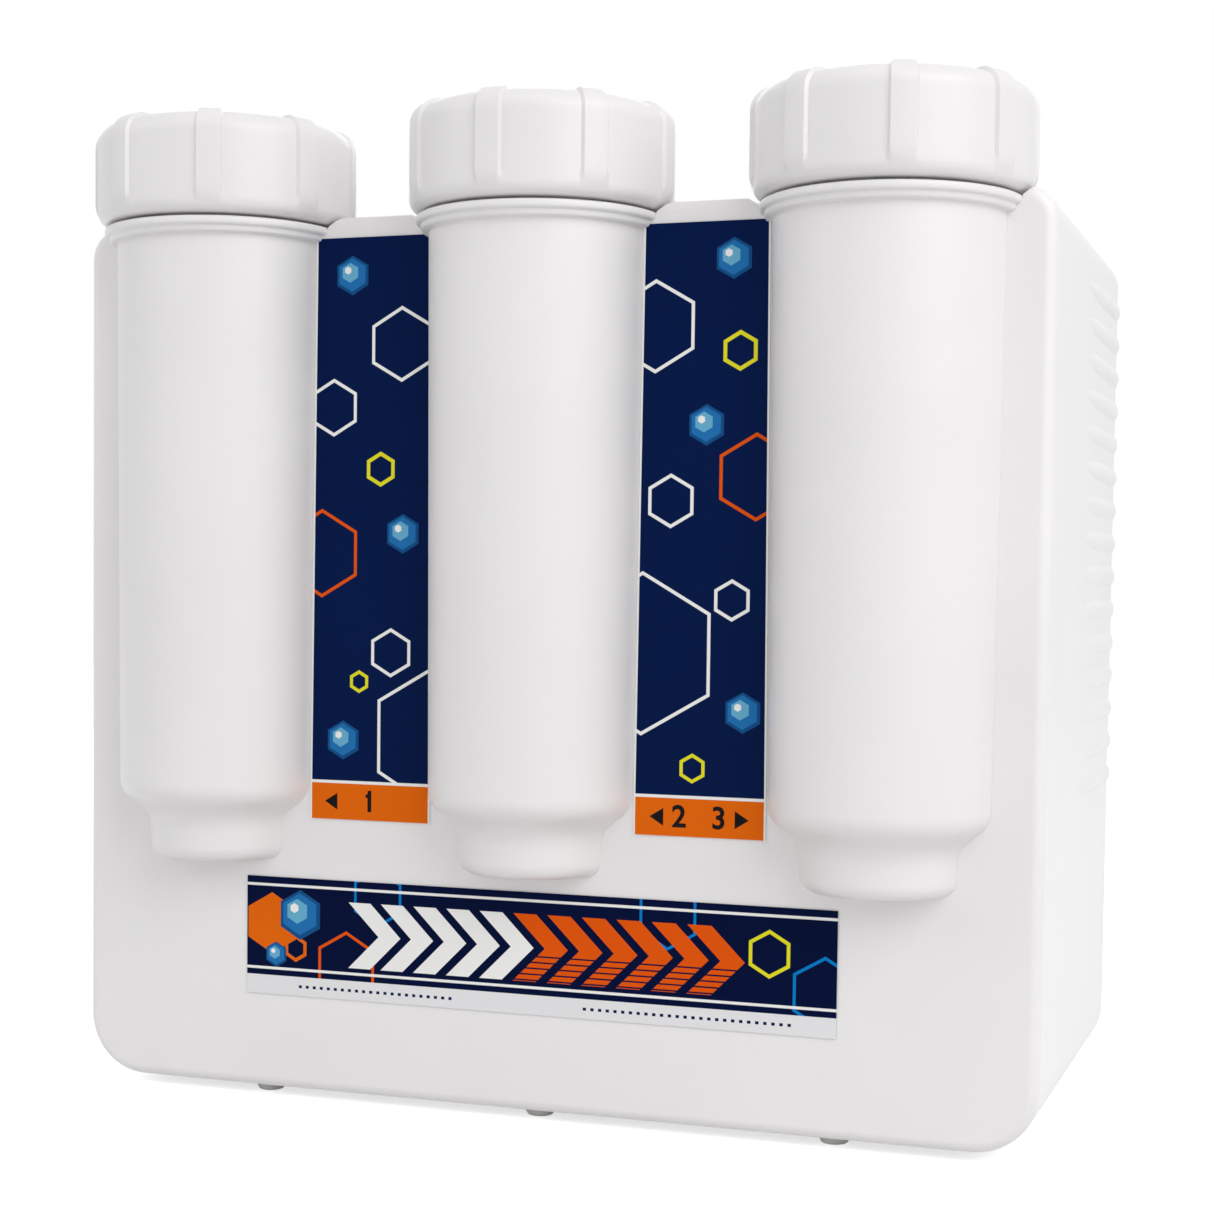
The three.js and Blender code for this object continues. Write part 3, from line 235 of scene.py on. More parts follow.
gloss = added(moulded_skin, "ShaderNodeMath", operation="MULTIPLY_ADD")
bump = added(moulded_skin, "ShaderNodeBump", {"Strength": 1})
link = moulded_skin.links.new
link(where.outputs["Object"], cloud.inputs["Vector"])
link(given.outputs["Cloud scale"], cloud.inputs["Scale"])
link(given.outputs["Cloud"], low.inputs[1])
link(cloud.outputs["Fac"], spread.inputs["Value"])
link(low.outputs[0], spread.inputs["To Min"])
link(given.outputs["Colour"], tint.inputs[0])
link(spread.outputs[0], tint.inputs["Scale"])
link(tint.outputs[0], result.inputs["Colour"])
link(where.outputs["Object"], grain.inputs["Vector"])
link(given.outputs["Grain scale"], grain.inputs["Scale"])
link(cloud.outputs["Fac"], gloss.inputs[0])
link(given.outputs["Gloss range"], gloss.inputs[1])
link(given.outputs["Gloss"], gloss.inputs[2])
link(gloss.outputs[0], result.inputs["Roughness"])
link(grain.outputs["Fac"], bump.inputs["Height"])
link(given.outputs["Grain height"], bump.inputs["Distance"])
link(bump.outputs[0], result.inputs["Normal"])


def moulded(name, colour, gloss=0.36, gloss_range=0.1, cloud=0.035, cloud_scale=14, grain_scale=700,
            grain_height=0.00002, **shader):
    """A finish of moulded plastic or rubber. A smooth one has a low gloss value."""
    finish = bpy.data.materials.new(name)
    finish.use_nodes = True
    surface = finish.node_tree.nodes["Principled BSDF"]
    for socket, value in shader.items():
        surface.inputs[socket.replace("_", " ")].default_value = value
    skin = added(finish.node_tree, "ShaderNodeGroup",
                 {"Colour": colour, "Cloud": cloud, "Cloud scale": cloud_scale, "Gloss": gloss,
                  "Gloss range": gloss_range, "Grain scale": grain_scale, "Grain height": grain_height},
                 node_tree=moulded_skin)
    for output, socket in (("Colour", "Base Color"), ("Roughness", "Roughness"), ("Normal", "Normal")):
        finish.node_tree.links.new(skin.outputs[output], surface.inputs[socket])
    return finish


case_plastic = moulded("case plastic", shade(235, 233, 233))


def case_block(inset, front, back):
    """The case's outline as a block, drawn in from its outer faces."""
    shape = block((inset - case_side, front, inset), (case_side - inset, back, case_height - inset))
    for low, radius in ((True, case_bottom_radius), (False, case_top_radius)):
        eased(shape, [edge for edge in shape.edges
                      if edge.verts[0].co.y != edge.verts[1].co.y
                      and (edge.verts[0].co.z < case_height / 2) == low], radius - inset, 14)
    return shape


spigot_radius = 30.6
spigot_foot = 95.5
spigot_top = 108.5
spigot_ease = 6
shoulder_radius = 43
shoulder_top = 128
collar_steps = ((44.5, 347.9, 0.6), (47.4, 348.2, 1), (47.7, 350.5, 0.5), (49.6, 350.8, 1.2))
collar_radius = 49.6
collar_middle = 352.6
collar_top = 354


def tub_outline(grow=0):
    """The outside of a tub from the middle of its underside to the nose of its collar."""
    spigot, shoulder = spigot_radius + grow, shoulder_radius + grow
    pulls = [Vector(point) for point in ((spigot, spigot_top), (spigot, 119),
                                         (shoulder, 117.5), (shoulder, shoulder_top))]
    curve = []
    for k in range(15):
        t = k / 14
        shares = (1 - t) ** 3, 3 * t * (1 - t) ** 2, 3 * t * t * (1 - t), t ** 3
        curve.append(tuple(blended(pulls, shares)))
    foot = rounded([(0, spigot_foot - grow, 0), (spigot, spigot_foot - grow, spigot_ease),
                    (spigot, spigot_top, 0)])
    collar = rounded([(shoulder, shoulder_top, 0),
                      *((radius + grow, height - grow, ease) for radius, height, ease in collar_steps),
                      (collar_radius + grow, collar_middle, 0)])
    return foot[:-1] + curve + collar[1:]


shell = case_block(0, 0, case_depth + 1)
panel = next(face for face in shell.faces if max(v.co.y for v in face.verts) < 0.01)
eased(shell, panel.edges[:], case_front_radius, 6)

# Each grip rib is a long bar sunk in the wall, of which a low arch stands out. It swells slowly from
# nothing, so that the hand feels no front end.
grip_depth = 5
grip_half_width = 5.6
grip_height = 1.5
grip_start = 92
grip_swell = 50
grip_rows = 15
grip_lowest = 129.4
grip_spacing = 14.6
grip_buried = 0.98 * (1 - grip_height / grip_depth)
swell = [(grip_buried + (1 - grip_buried) * math.sin(k * math.pi / 24), grip_swell * k / 12)
         for k in range(13)]
grip = turned([(0, 0), *swell, (1, case_depth), (0, case_depth)], 48)
grip.transform(Matrix.Diagonal((grip_depth, 1, grip_half_width, 1)) @ along_y)
grip_middle = case_side + grip_height - grip_depth
grips = [placed(grip, (side * grip_middle, grip_start, grip_lowest + grip_spacing * i))
         for side in (-1, 1) for i in range(grip_rows)]
shell = worked(shell, gathered(grips), "UNION")
shell = worked(shell, case_block(case_wall, case_wall, case_depth + 2), "DIFFERENCE")

seat_radius = 53.3
seat_foot = 346.2
seat_top = 357
seat_inset = 0.6


def at_tub(place, shape, turn=Matrix()):
    """A copy of a shape on the axis of one of the tubs."""
    return placed(shape, (tub_places[place], tub_axis_y, 0), turn)


seat = rod(seat_radius, seat_foot, seat_top, around)
seats = gathered(at_tub(place, seat) for place in tub_places)
shell = worked(shell, worked(seats, case_block(seat_inset, seat_inset, case_depth), "INTERSECT"), "UNION")
boss_radius = 5
boss_reach = 25
boss_start = 1.5
boss_end = 50.4
bracket_screw_places = [(side * 70, 330) for side in (-1, 1)]
cover_screw_places = [(side * 193, z) for side in (-1, 1) for z in (40, 320)]
bosses = [placed(rod(boss_radius, boss_start, boss_end, 24), (x, 0, z), along_y)
          for x, z in bracket_screw_places]
bosses += [placed(rod(boss_radius, -boss_reach, 5, 24), (x, case_depth, z), along_y)
           for x, z in cover_screw_places]
shell = worked(shell, gathered(bosses), "UNION")
wall_middle = case_side - case_wall / 2
gusset_half = 2.5
gussets = [block((min(x, math.copysign(wall_middle, x)), case_depth - boss_reach, z - gusset_half),
                 (max(x, math.copysign(wall_middle, x)), case_depth - fit_gap, z + gusset_half))
           for x, z in cover_screw_places]
shell = worked(shell, gathered(gussets), "UNION")

cap_room_radius = 56.43
cap_room_top = 359
tub_room = turned([*tub_outline(tub_gap), (50 + tub_gap, collar_top), (cap_room_radius, cap_room_top),
                   (0, cap_room_top)])
shell = worked(shell, gathered(at_tub(place, tub_room) for place in tub_places), "DIFFERENCE")
screw_hole_radius = 1.95
pilot = rod(screw_hole_radius, -13, 1, 16)
foot_inset = 15
foot_spread = 122
foot_places = {f"{row}_{side}": (x, y)
               for row, y in (("front", foot_inset), ("rear", case_depth - foot_inset))
               for side, x in (("left", -foot_spread), ("middle", 0), ("right", foot_spread))}
drills = [placed(pilot, (x, boss_end, z), along_y) for x, z in bracket_screw_places]
drills += [placed(pilot, (x, case_depth, z), along_y) for x, z in cover_screw_places]
drills += [placed(rod(2.6, -1, 4, 16), (x, y, 0)) for x, y in foot_places.values()]
drills.append(block((-300, case_depth, -100), (300, case_depth + 100, 500)))
shell = worked(shell, gathered(drills), "DIFFERENCE")
fitted("case_moulding", shell, case_plastic, "case_plastic", "case", "case_shell")

# Rear cover: a flat moulded lid with rounded edges that closes the back of the case. It is held by
# four screws, and the ports for the outside tubes pass through it.
cover_front = 191.6965
cover_back = 194.6965
port_places = {"feed": (-170, 200), "drain": (165, 175), "tap": (-120, 240)}
lid = case_block(0, cover_front, cover_back)
back_face = next(face for face in lid.faces if min(v.co.y for v in face.verts) > cover_back - 0.01)
eased(lid, back_face.edges[:], 1.2, 3)
port_hole_radius = 7.5
drills = [placed(rod(port_hole_radius, -2, 7, 48), (x, cover_front, z), along_y)
          for x, z in port_places.values()]
drills += [placed(rod(screw_hole_radius, -2, 7, 24), (x, cover_front, z), along_y)
           for x, z in cover_screw_places]
lid = worked(lid, gathered(drills), "DIFFERENCE")
fitted("rear_lid", lid, case_plastic, "case_plastic", "case", "rear_cover")

# Screws: pan-head screws of plated steel with a cross recess, driven into the bosses of the case.
# Four hold the cover and two the bracket.
screw_steel = moulded("plated steel", shade(200, 202, 204), gloss=0.22, gloss_range=0.2, cloud=0.1,
                      cloud_scale=300, grain_scale=1500, grain_height=0.000006, Metallic=1)
screw = turned(rounded([(0, -11.7, 0), (1.6, -11.7, 0.6), (1.6, 0.3, 0), (3.6, 0.3, 0.3), (3.6, 2.5, 1.3),
                        (0, 2.5, 0)]), 36)
for turn in (0, 90):
    slit = block((-1.9, -0.4, 1.3), (1.9, 0.4, 3))
    slit.transform(Matrix.Rotation(math.radians(turn + 20), 4, "Z"))
    screw = worked(screw, slit, "DIFFERENCE")
bracket_back = 53
for held, places, back in (("cover", cover_screw_places, cover_back),
                           ("bracket", bracket_screw_places, bracket_back)):
    for i, (x, z) in enumerate(places):
        fitted(f"{held}_screw_steel_{i + 1}", placed(screw, (x, back, z), along_y), screw_steel,
               "screw_steel", "case", f"{held}_screw_{i + 1}")

# Feet: buttons of soft grey rubber that the case stands on. Each is moulded with a stem, which is
# pushed into a hole in the underside of the case.
foot_rubber = moulded("foot rubber", shade(226, 226, 222), gloss=0.62, cloud=0.08, cloud_scale=120,
                      grain_scale=900, grain_height=0.00004)
foot = turned(rounded([(0, -4, 0), (5, -4, 0.8), (7, -0.3, 0.5), (2.2, -0.3, 0.3), (2.2, 3, 0.5),
                       (0, 3, 0)]), 48)
for place, (x, y) in foot_places.items():
    fitted(f"foot_button_{place}", placed(foot, (x, y, 0)), foot_rubber, "foot_rubber", "case",
           f"foot_{place}")

# Filter tubs: tall white cups of moulded plastic that hold the cartridges. Each stands in its opening
# on a narrow spigot, its stepped collar lies in the seat, and its neck has a screw thread for the cap.
tub_plastic = moulded("tub plastic", shade(231, 229, 229), gloss=0.34, cloud=0.03, grain_height=0.000016)
neck_radius = 42.6
bore_radius = 38.5
tub_top = 384
bore_foot = 126
spigot_bore_radius = 26.5
tub_floor = 100
tub = turned([
    *tub_outline(),
    *rounded([(collar_radius, collar_middle, 0), (collar_radius, collar_top, 1.3),
              (neck_radius, collar_top, 0.8), (neck_radius, tub_top, 0.8), (bore_radius, tub_top, 0.8),
              (bore_radius, bore_foot, 1), (spigot_bore_radius, bore_foot, 0.8),
              (spigot_bore_radius, tub_floor, 3), (0, tub_floor, 0)])[1:]])


def swept(section, angle, steps, climb=0, axis=(0, 0, 1)):
    """A bar of the given section, turned about an axis and climbing by so much at each step."""
    shape = bmesh.new()
    shape.faces.new([shape.verts.new(point) for point in section])
    bmesh.ops.spin(shape, geom=shape.verts[:] + shape.edges[:] + shape.faces[:], cent=(0, 0, 0),
                   axis=axis, dvec=(0, 0, climb), angle=angle, steps=steps)
    bmesh.ops.recalc_face_normals(shape, faces=shape.faces)
    return shape


thread_foot = 361
thread_pitch = 6
thread_turns = 2
thread = swept([(radius, 0, thread_foot + rise) for radius, rise in ((41.8, -1.4), (44, 0), (41.8, 1.4))],
               thread_turns * 2 * math.pi, thread_turns * around, thread_pitch / around)
tub = worked(tub, thread, "UNION")
inlet_height = 138
outlet_height = 107
port_end = 55.8
waterway_radius = 3
ports = [placed(rod(7, 0, port_end - inner), (0, inner, z), along_y)
         for z, inner in ((inlet_height, 40), (outlet_height, 28))]
tub = worked(tub, gathered(ports), "UNION")
ways = [placed(rod(waterway_radius, 20, 60, 24), (0, 0, z), along_y) for z in (inlet_height, outlet_height)]
tub = worked(tub, gathered(ways), "DIFFERENCE")
for place in tub_places:
    fitted(f"tub_{place}", at_tub(place, tub), tub_plastic, "tub_plastic", "case", f"filter_tub_{place}")

# Cartridges: the outer two are wound from spun fibre, whose crossing strands leave a lattice of dips.
# The middle one is a black carbon block in a white net, between two moulded end caps.
cartridge_low = 126.3
cartridge_high = 372.3
spun_fibre = moulded("spun fibre", shade(240, 238, 230), gloss=0.85, gloss_range=0.05, cloud=0.06,
                     cloud_scale=160, grain_scale=450, grain_height=0.00025)
wind_radius = 31
wind_rows = 120
wind_depth = 0.9
wind_strands = 9
wind_slope = 0.42
wind_ease = 1.5
wind_length = cartridge_high - cartridge_low - 2 * wind_ease
core_radius = 14
wound = turned([(core_radius, cartridge_low), (wind_radius - wind_ease, cartridge_low),
                *((wind_radius, cartridge_low + wind_ease + wind_length * k / wind_rows)
                  for k in range(wind_rows + 1)),
                (wind_radius - wind_ease, cartridge_high), (core_radius, cartridge_high)])
for point in wound.verts:
    if point.co.xy.length > wind_radius - 0.1:
        turn = math.atan2(point.co.y, point.co.x)
        dip = math.prod(0.5 - 0.5 * math.cos(wind_strands * turn + way * wind_slope * point.co.z)
                        for way in (-1, 1))
        point.co.xy *= 1 - dip * wind_depth / wind_radius
for place, node in (("left", "sediment_cartridge"), ("right", "polishing_cartridge")):
    fitted(f"wound_cartridge_{place}", at_tub(place, wound), spun_fibre, "spun_fibre",
           f"cartridge_{place}", node)
carbon_black = moulded("pressed carbon", shade(42, 43, 46), gloss=0.75, cloud=0.3, cloud_scale=250,
                       grain_scale=1400, grain_height=0.0003)
end_plastic = moulded("end cap plastic", shade(226, 228, 228), gloss=0.4)
end_plate_radius = 32.5
carbon_radius = 29.5
carbon_low = cartridge_low + 14
carbon_high = cartridge_high - 14
pressed = turned(rounded([(core_radius, cartridge_low, 0.8), (end_plate_radius, cartridge_low, 1.5),
                          (end_plate_radius, carbon_low, 1), (carbon_radius, carbon_low, 0),
                          (carbon_radius, carbon_high, 0), (end_plate_radius, carbon_high, 1),
                          (end_plate_radius, cartridge_high, 1.5), (core_radius, cartridge_high, 0.8)]))
for face in pressed.faces:
    middle = face.calc_center_median()
    is_carbon = middle.xy.length > carbon_radius - 1.5 and carbon_low + 0.1 < middle.z < carbon_high - 0.1
    face.material_index = int(not is_carbon)
fitted("pressed_cartridge", at_tub("middle", pressed), [carbon_black, end_plastic], "carbon_block",
       "cartridge_middle", "carbon_cartridge")
net_strands = 14
net_foot = 140.9
net_height = 216.8
net_angle = 2.2 * math.pi
strand_section = [(radius, 0, net_foot + rise)
                  for radius, rise in ((29.3, -0.5), (30, -0.4), (30, 0.4), (29.3, 0.5))]
strands = []
for way in (-1, 1):
    for k in range(net_strands):
        strand = swept(strand_section, way * net_angle, 48, net_height / 48)
        turn = Matrix.Rotation(2 * math.pi * k / net_strands, 4, "Z")
        strands.append(at_tub("middle", strand, turn))
fitted("cartridge_net", gathered(strands), end_plastic, "spun_fibre", "cartridge_middle")

# Cap seals: rings of black rubber with a round section. Each lies in the groove of a cap's plug and
# seals it against the bore of the tub.
seal_rubber = moulded("seal rubber", shade(28, 28, 29), gloss=0.5, cloud=0.15, cloud_scale=90,
                      grain_scale=800, grain_height=0.00003)
seal = turned(rounded([(34.8, 377.3, 1.3), (38.2, 377.3, 1.3), (38.2, 380.7, 1.3), (34.8, 380.7, 1.3)]))
for place in tub_places:
    fitted(f"seal_ring_{place}", at_tub(place, seal), seal_rubber, "seal_rubber", f"seal_{place}",
           f"cap_seal_{place}")

# Caps: white moulded lids that screw on the tubs' necks. Each has a hollow plug with the seal's
# groove, and eight raised grip ribs that run over its shoulder and fade out towards its foot.
cap_radius = 52.3
cap_foot = 355.2
cap_top = 395
cap_shoulder = 8
rib_height = 1.4
rib_half_angle = 5.5
rib_foot = cap_foot + 2
rib_fade = 7
rib_flank = 1.1
rib_inner_radius = 36
rib_spacing = 45
side_top = 370
cap_turns = {"left": 21, "middle": -2, "right": 16}
cap_plastic = moulded("cap plastic", shade(228, 226, 226), gloss=0.3, cloud=0.03, grain_height=0.000014)
side_rings = [(cap_radius, cap_foot + 5 + 1.5 * k) for k in range(18)]
cap = turned([
    (0, cap_top), *((44 - 2 * k, cap_top) for k in range(4, -1, -1)),
    *rounded([(0, cap_top, 0), (cap_radius, cap_top, cap_shoulder), (cap_radius, side_top, 0)], 12)[1:-1],
    *side_rings[::-1],
    *rounded([(cap_radius, side_top, 0), (cap_radius, cap_foot, 5), (44.4, cap_foot, 1), (44.4, 385.5, 1),
              (37.6, 385.5, 0.5), (37.6, 381, 0), (34.5, 381, 0), (34.5, 377, 0), (37.6, 377, 0),
              (37.6, 373.5, 1), (31, 373.5, 0.8), (31, 390, 2), (0, 390, 0)], 6)[2:]], 360)
shoulder_middle = Vector((cap_radius - cap_shoulder, cap_top - cap_shoulder))
for vert in cap.verts:
    radius, height = vert.co.xy.length, vert.co.z
    outside = radius > cap_radius - 0.01 or (height > cap_top - cap_shoulder and radius > 44.2)
    if height > cap_top - 0.01 or outside:
        bearing = math.degrees(math.atan2(vert.co.y, vert.co.x))
        off = abs((bearing + rib_spacing / 2) % rib_spacing - rib_spacing / 2)
        steps = ((rib_half_angle - off) / rib_flank + 0.5, (height - rib_foot) / rib_fade,
                 (radius - rib_inner_radius) / 6)
        rise = math.prod(t * t * (3 - 2 * t) for t in (max(0, min(1, step)) for step in steps))
        spot = Vector((radius, height))
        away = Vector((max(0, spot.x - shoulder_middle.x), max(0, spot.y - shoulder_middle.y)))
        if rise > 0:
            away = away.normalized() * rib_height * rise
            grow = (radius + away.x) / radius
            vert.co = Vector((vert.co.x * grow, vert.co.y * grow, height + away.y))
for place, angle in cap_turns.items():
    turn = Matrix.Rotation(math.radians(angle), 4, "Z")
    fitted(f"cap_{place}", at_tub(place, cap, turn), cap_plastic, "cap_plastic", f"cap_{place}",
           f"tub_cap_{place}", sharp=50)

# Labels: printed plastic film stuck on the front panel. Hexagon outlines are strewn on navy, arrows
# on the orange foot of each upright label point to the tubs, and the banner carries a row of chevrons.
hexagon, given, result = new_group("hexagon", {"Across": "Float", "Up": "Float", "Middle across": "Float",
                                               "Middle up": "Float", "Size": "Float", "Line": "Float"},
                                   {"Mask": "Float"})


def chain(tree, *steps):
    """Math nodes in a row. Each step is (operation, first, second, third), and "it" is the last result."""
    last = None
    for operation, *values in steps:
        made = added(tree, "ShaderNodeMath", operation=operation)
        for i, value in enumerate(values):
            if isinstance(value, (int, float)):
                made.inputs[i].default_value = value
            else:
                tree.links.new(last if value == "it" else value, made.inputs[i])
        last = made.outputs[0]
    return last


print_soft = 0.16


def edged(tree, depth):
    """A mask from how deep a spot lies inside an outline, with an edge as soft as print has."""
    return chain(tree, ("MULTIPLY", depth, 1 / print_soft), ("ADD", "it", 0.5), ("MINIMUM", "it", 1),
                 ("MAXIMUM", "it", 0))


offs = [chain(hexagon, ("SUBTRACT", given.outputs[a], given.outputs[b]), ("ABSOLUTE", "it"))
        for a, b in (("Across", "Middle across"), ("Up", "Middle up"))]
slant = chain(hexagon, ("MULTIPLY", offs[1], math.sqrt(3) / 2), ("MULTIPLY_ADD", offs[0], 0.5, "it"))
ring = chain(hexagon, ("MAXIMUM", slant, offs[0]), ("SUBTRACT", "it", given.outputs["Size"]),
             ("ABSOLUTE", "it"))
half = chain(hexagon, ("MULTIPLY", given.outputs["Line"], 0.5))
hexagon.links.new(edged(hexagon, chain(hexagon, ("SUBTRACT", half, ring))), result.inputs["Mask"])

navy = shade(4, 26, 73)
banner_navy = shade(2, 15, 54)
white = shade(238, 238, 236)
orange = shade(226, 103, 14)
red_orange = shade(224, 86, 13)
yellow = shade(226, 220, 40)
deep_sky = shade(22, 78, 134)
sky = shade(36, 112, 176)
bright_sky = shade(8, 122, 198)
pale_sky = shade(104, 172, 205)
black = shade(24, 22, 24)
label_white = shade(228, 228, 230)


class Print:
    """The printed face of a label: layers of colour on a ground, placed in panel millimetres."""

    def __init__(self, name, ground):
        self.finish = moulded(name, ground, gloss=0.3, gloss_range=0.12, cloud=0.12, cloud_scale=9,
                              grain_scale=260, grain_height=0.000012, Specular_IOR_Level=0.03)
        self.tree = self.finish.node_tree
        spot = added(self.tree, "ShaderNodeSeparateXYZ")
        here = added(self.tree, "ShaderNodeTexCoord")
        self.tree.links.new(here.outputs["Object"], spot.inputs[0])
        self.across = chain(self.tree, ("MULTIPLY", spot.outputs["X"], 1000))
        self.up = chain(self.tree, ("SUBTRACT", spot.outputs["Z"], corner.z), ("MULTIPLY", "it", 1000))
        self.surface = self.tree.nodes["Principled BSDF"]
        self.colour = self.surface.inputs["Base Color"].links[0].from_socket

    def lay(self, mask, colour):
        """Prints a colour where the mask is 1."""
        mix = added(self.tree, "ShaderNodeMix", {7: colour}, data_type="RGBA")
        self.tree.links.new(mask, mix.inputs[0])
        self.tree.links.new(self.colour, mix.inputs[6])
        self.colour = mix.outputs[2]
        self.tree.links.new(self.colour, self.surface.inputs["Base Color"])

    def within(self, value, low, high):
        """A mask that is 1 between two values of a length."""
        middle, half_length = (low + high) / 2, (high - low) / 2
        return edged(self.tree, chain(self.tree, ("SUBTRACT", value, middle), ("ABSOLUTE", "it"),
                                      ("SUBTRACT", half_length, "it")))

    def both(self, first, second):
        """A mask that is 1 where two masks are."""
        return chain(self.tree, ("MULTIPLY", first, second))

    def hexagons(self, rows):
        """Prints outlines of (across, up, size, line, colour), where a line of twice the size fills one."""
        for x, z, size, line, colour in rows:
            where = {"Middle across": x, "Middle up": z, "Size": size, "Line": line}
            drawn = added(self.tree, "ShaderNodeGroup", where, node_tree=hexagon)
            self.tree.links.new(self.across, drawn.inputs["Across"])
            self.tree.links.new(self.up, drawn.inputs["Up"])
            self.lay(drawn.outputs["Mask"], colour)

    def glint(self, x, z, size):
        """Prints a solid hexagon in blues that lighten towards its upper left."""
        for part, shift, colour in ((1, 0, deep_sky), (0.84, 0.03, sky), (0.5, 0.16, pale_sky),
                                    (0.2, 0.3, white)):
            self.hexagons([(x - shift * size, z + shift * size, part * size / 2, part * size, colour)])

    def arrow(self, x, z, length, facing):
        """Prints a solid arrowhead with its point at (x, z)."""
        along = chain(self.tree, ("SUBTRACT", self.across, x), ("MULTIPLY", "it", -facing))
        width = chain(self.tree, ("SUBTRACT", self.up, z), ("ABSOLUTE", "it"))
        side = chain(self.tree, ("MULTIPLY", along, 0.62), ("SUBTRACT", "it", width))
        depth = chain(self.tree, ("SUBTRACT", length, along), ("MINIMUM", "it", side))
        self.lay(edged(self.tree, depth), black)

    def stuck_on(self, label):
        """Puts the print on the solid of its label."""
        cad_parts[label].data.materials.clear()
        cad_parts[label].data.materials.append(self.finish)


# Each upright label has its middle, the outlines and glints strewn on it, and the ways that its
# arrows face. Its white border follows its sides, which draw together upwards.
label_middle = 70
mark_height = 120.8
orange_top = 128.2
border_top = 129.4
border_inner = 25.95
label_taper = 0.00683
glint_size = 6.9
arrow_length = 5.6
arrow_reach = 20
upright_labels = {
    "label_left": (-label_middle,
                   ((13, 306, 12.5, 1.3, white), (-17, 281, 9.5, 1.3, white), (4, 256, 5.4, 1.5, yellow),
                    (-22, 222, 15, 1.3, red_orange), (9, 182, 8, 1.3, white), (29, 148, 25, 1.3, white),
                    (-5, 170, 3.4, 1.3, yellow)),
                   ((-9, 334), (14, 230), (-12, 146)), (-1,)),
    "label_right": (label_middle,
                    ((-20, 310, 15, 1.3, white), (14, 300, 6, 1.5, yellow), (21, 252, 14, 1.3, red_orange),
                     (-13, 243, 8.5, 1.3, white), (-24, 184, 27, 1.3, white), (12, 205, 6.4, 1.3, white),
                     (-3, 140, 4.4, 1.3, yellow)),
                    ((11, 335), (1, 272), (17, 162)), (-1, 1)),
}
for label, (middle, rows, glints, facings) in upright_labels.items():
    face = Print(f"{label} print", navy)
    face.hexagons([(middle + x, *row) for x, *row in rows])
    for x, z in glints:
        face.glint(middle + x, z, glint_size)
    taper = chain(face.tree, ("SUBTRACT", face.up, shoulder_top), ("MAXIMUM", "it", 0),
                  ("MULTIPLY", "it", label_taper))
    side = chain(face.tree, ("SUBTRACT", face.across, middle), ("ABSOLUTE", "it"), ("ADD", "it", taper))
    face.lay(face.within(face.up, 100, orange_top), orange)
    face.lay(face.within(side, border_inner, 30), white)
    face.lay(face.within(face.up, orange_top, border_top), white)
    for facing in facings:
        face.arrow(middle + facing * arrow_reach, mark_height, arrow_length, facing)
    face.stuck_on(label)

banner = Print("banner print", banner_navy)
banner.hexagons([(-66, 82, 10, 1.1, bright_sky), (-80, 53, 12, 1.2, red_orange),
                 (58, 82, 11, 1.1, bright_sky), (99, 70, 7.5, 1.4, yellow), (121, 56, 12, 1.2, bright_sky),
                 (-114, 69, 5.5, 11, orange), (-103, 59, 4.2, 1.4, orange)])
banner.glint(-101, 73, 9)
banner.glint(-112, 56, 4.6)
chevron_middle = 66
chevron_spacing = 14.5
slat_spacing = 2.4
dot_spacing = 3.2
bend = chain(banner.tree, ("SUBTRACT", banner.up, chevron_middle), ("ABSOLUTE", "it"),
             ("ADD", banner.across, "it"))
beat = chain(banner.tree, ("ADD", bend, 400), ("MODULO", "it", chevron_spacing))
chevrons = banner.both(banner.within(beat, 1, 10.8), banner.within(banner.up, 52.5, 79.5))
banner.lay(banner.both(chevrons, banner.within(bend, -67, 6)), white)
slats = chain(banner.tree, ("MODULO", banner.up, slat_spacing))
solid = chain(banner.tree, ("MAXIMUM", banner.within(slats, 0.6, slat_spacing),
                            banner.within(banner.up, 63, 90)))
banner.lay(banner.both(banner.both(chevrons, banner.within(bend, 5.5, 93)), solid), red_orange)
for low, high, colour in ((84.3, 85.4, white), (49.6, 50.7, white), (30, 47.2, label_white)):
    banner.lay(banner.within(banner.up, low, high), colour)
dots = chain(banner.tree, ("ADD", banner.across, 400), ("MODULO", "it", dot_spacing))
runs = chain(banner.tree, ("MAXIMUM", banner.within(banner.across, -102.4, -32),
                           banner.within(banner.across, 22.4, 108.8)))
dotted = banner.both(banner.within(dots, 0.9, 2.3), banner.within(banner.up, 42.6, 43.8))
banner.lay(banner.both(dotted, runs), navy)
banner.stuck_on("label_banner")

# Numbers: the places of the cartridges in the order that the water takes. They are printed in black
# ink on the orange feet of the upright labels.
number_ink = moulded("number ink", black, gloss=0.35, cloud=0.1, Specular_IOR_Level=0.05)


def hardened(curve):
    """A curve or text as a mesh."""
    item = set_out("bench", curve)
    mesh = bpy.data.meshes.new_from_object(item.evaluated_get(bpy.context.evaluated_depsgraph_get()))
    shape = bmesh.new()
    shape.from_mesh(mesh)
    bpy.data.objects.remove(item)
    bpy.data.meshes.remove(mesh)
    return shape


for name, text, x in (("number_one", "1", -label_middle), ("number_two", "2", label_middle - 8),
                      ("number_three", "3", label_middle + 8)):
    written = bpy.data.curves.new(name, "FONT")
    written.body = text
    written.size = 12
    written.align_x = "CENTER"
    written.align_y = "CENTER"
    written.extrude = 0.02
    written.offset = 0.25
    shape = hardened(written)
    if text == "1":
        flag = block((-0.6, -2.7, -0.01), (0.6, 0, 0.01))
        flag.transform(Matrix.Translation((0.4, 3.95, 0)) @ Matrix.Rotation(math.radians(-48), 4, "Z"))
        shape = gathered((shape, flag))
    shape.transform(Matrix.Translation((x, -0.52, mark_height)) @ Matrix.Rotation(math.pi / 2, 4, "X"))
    fitted(name, shape, number_ink, "label_print", "case")

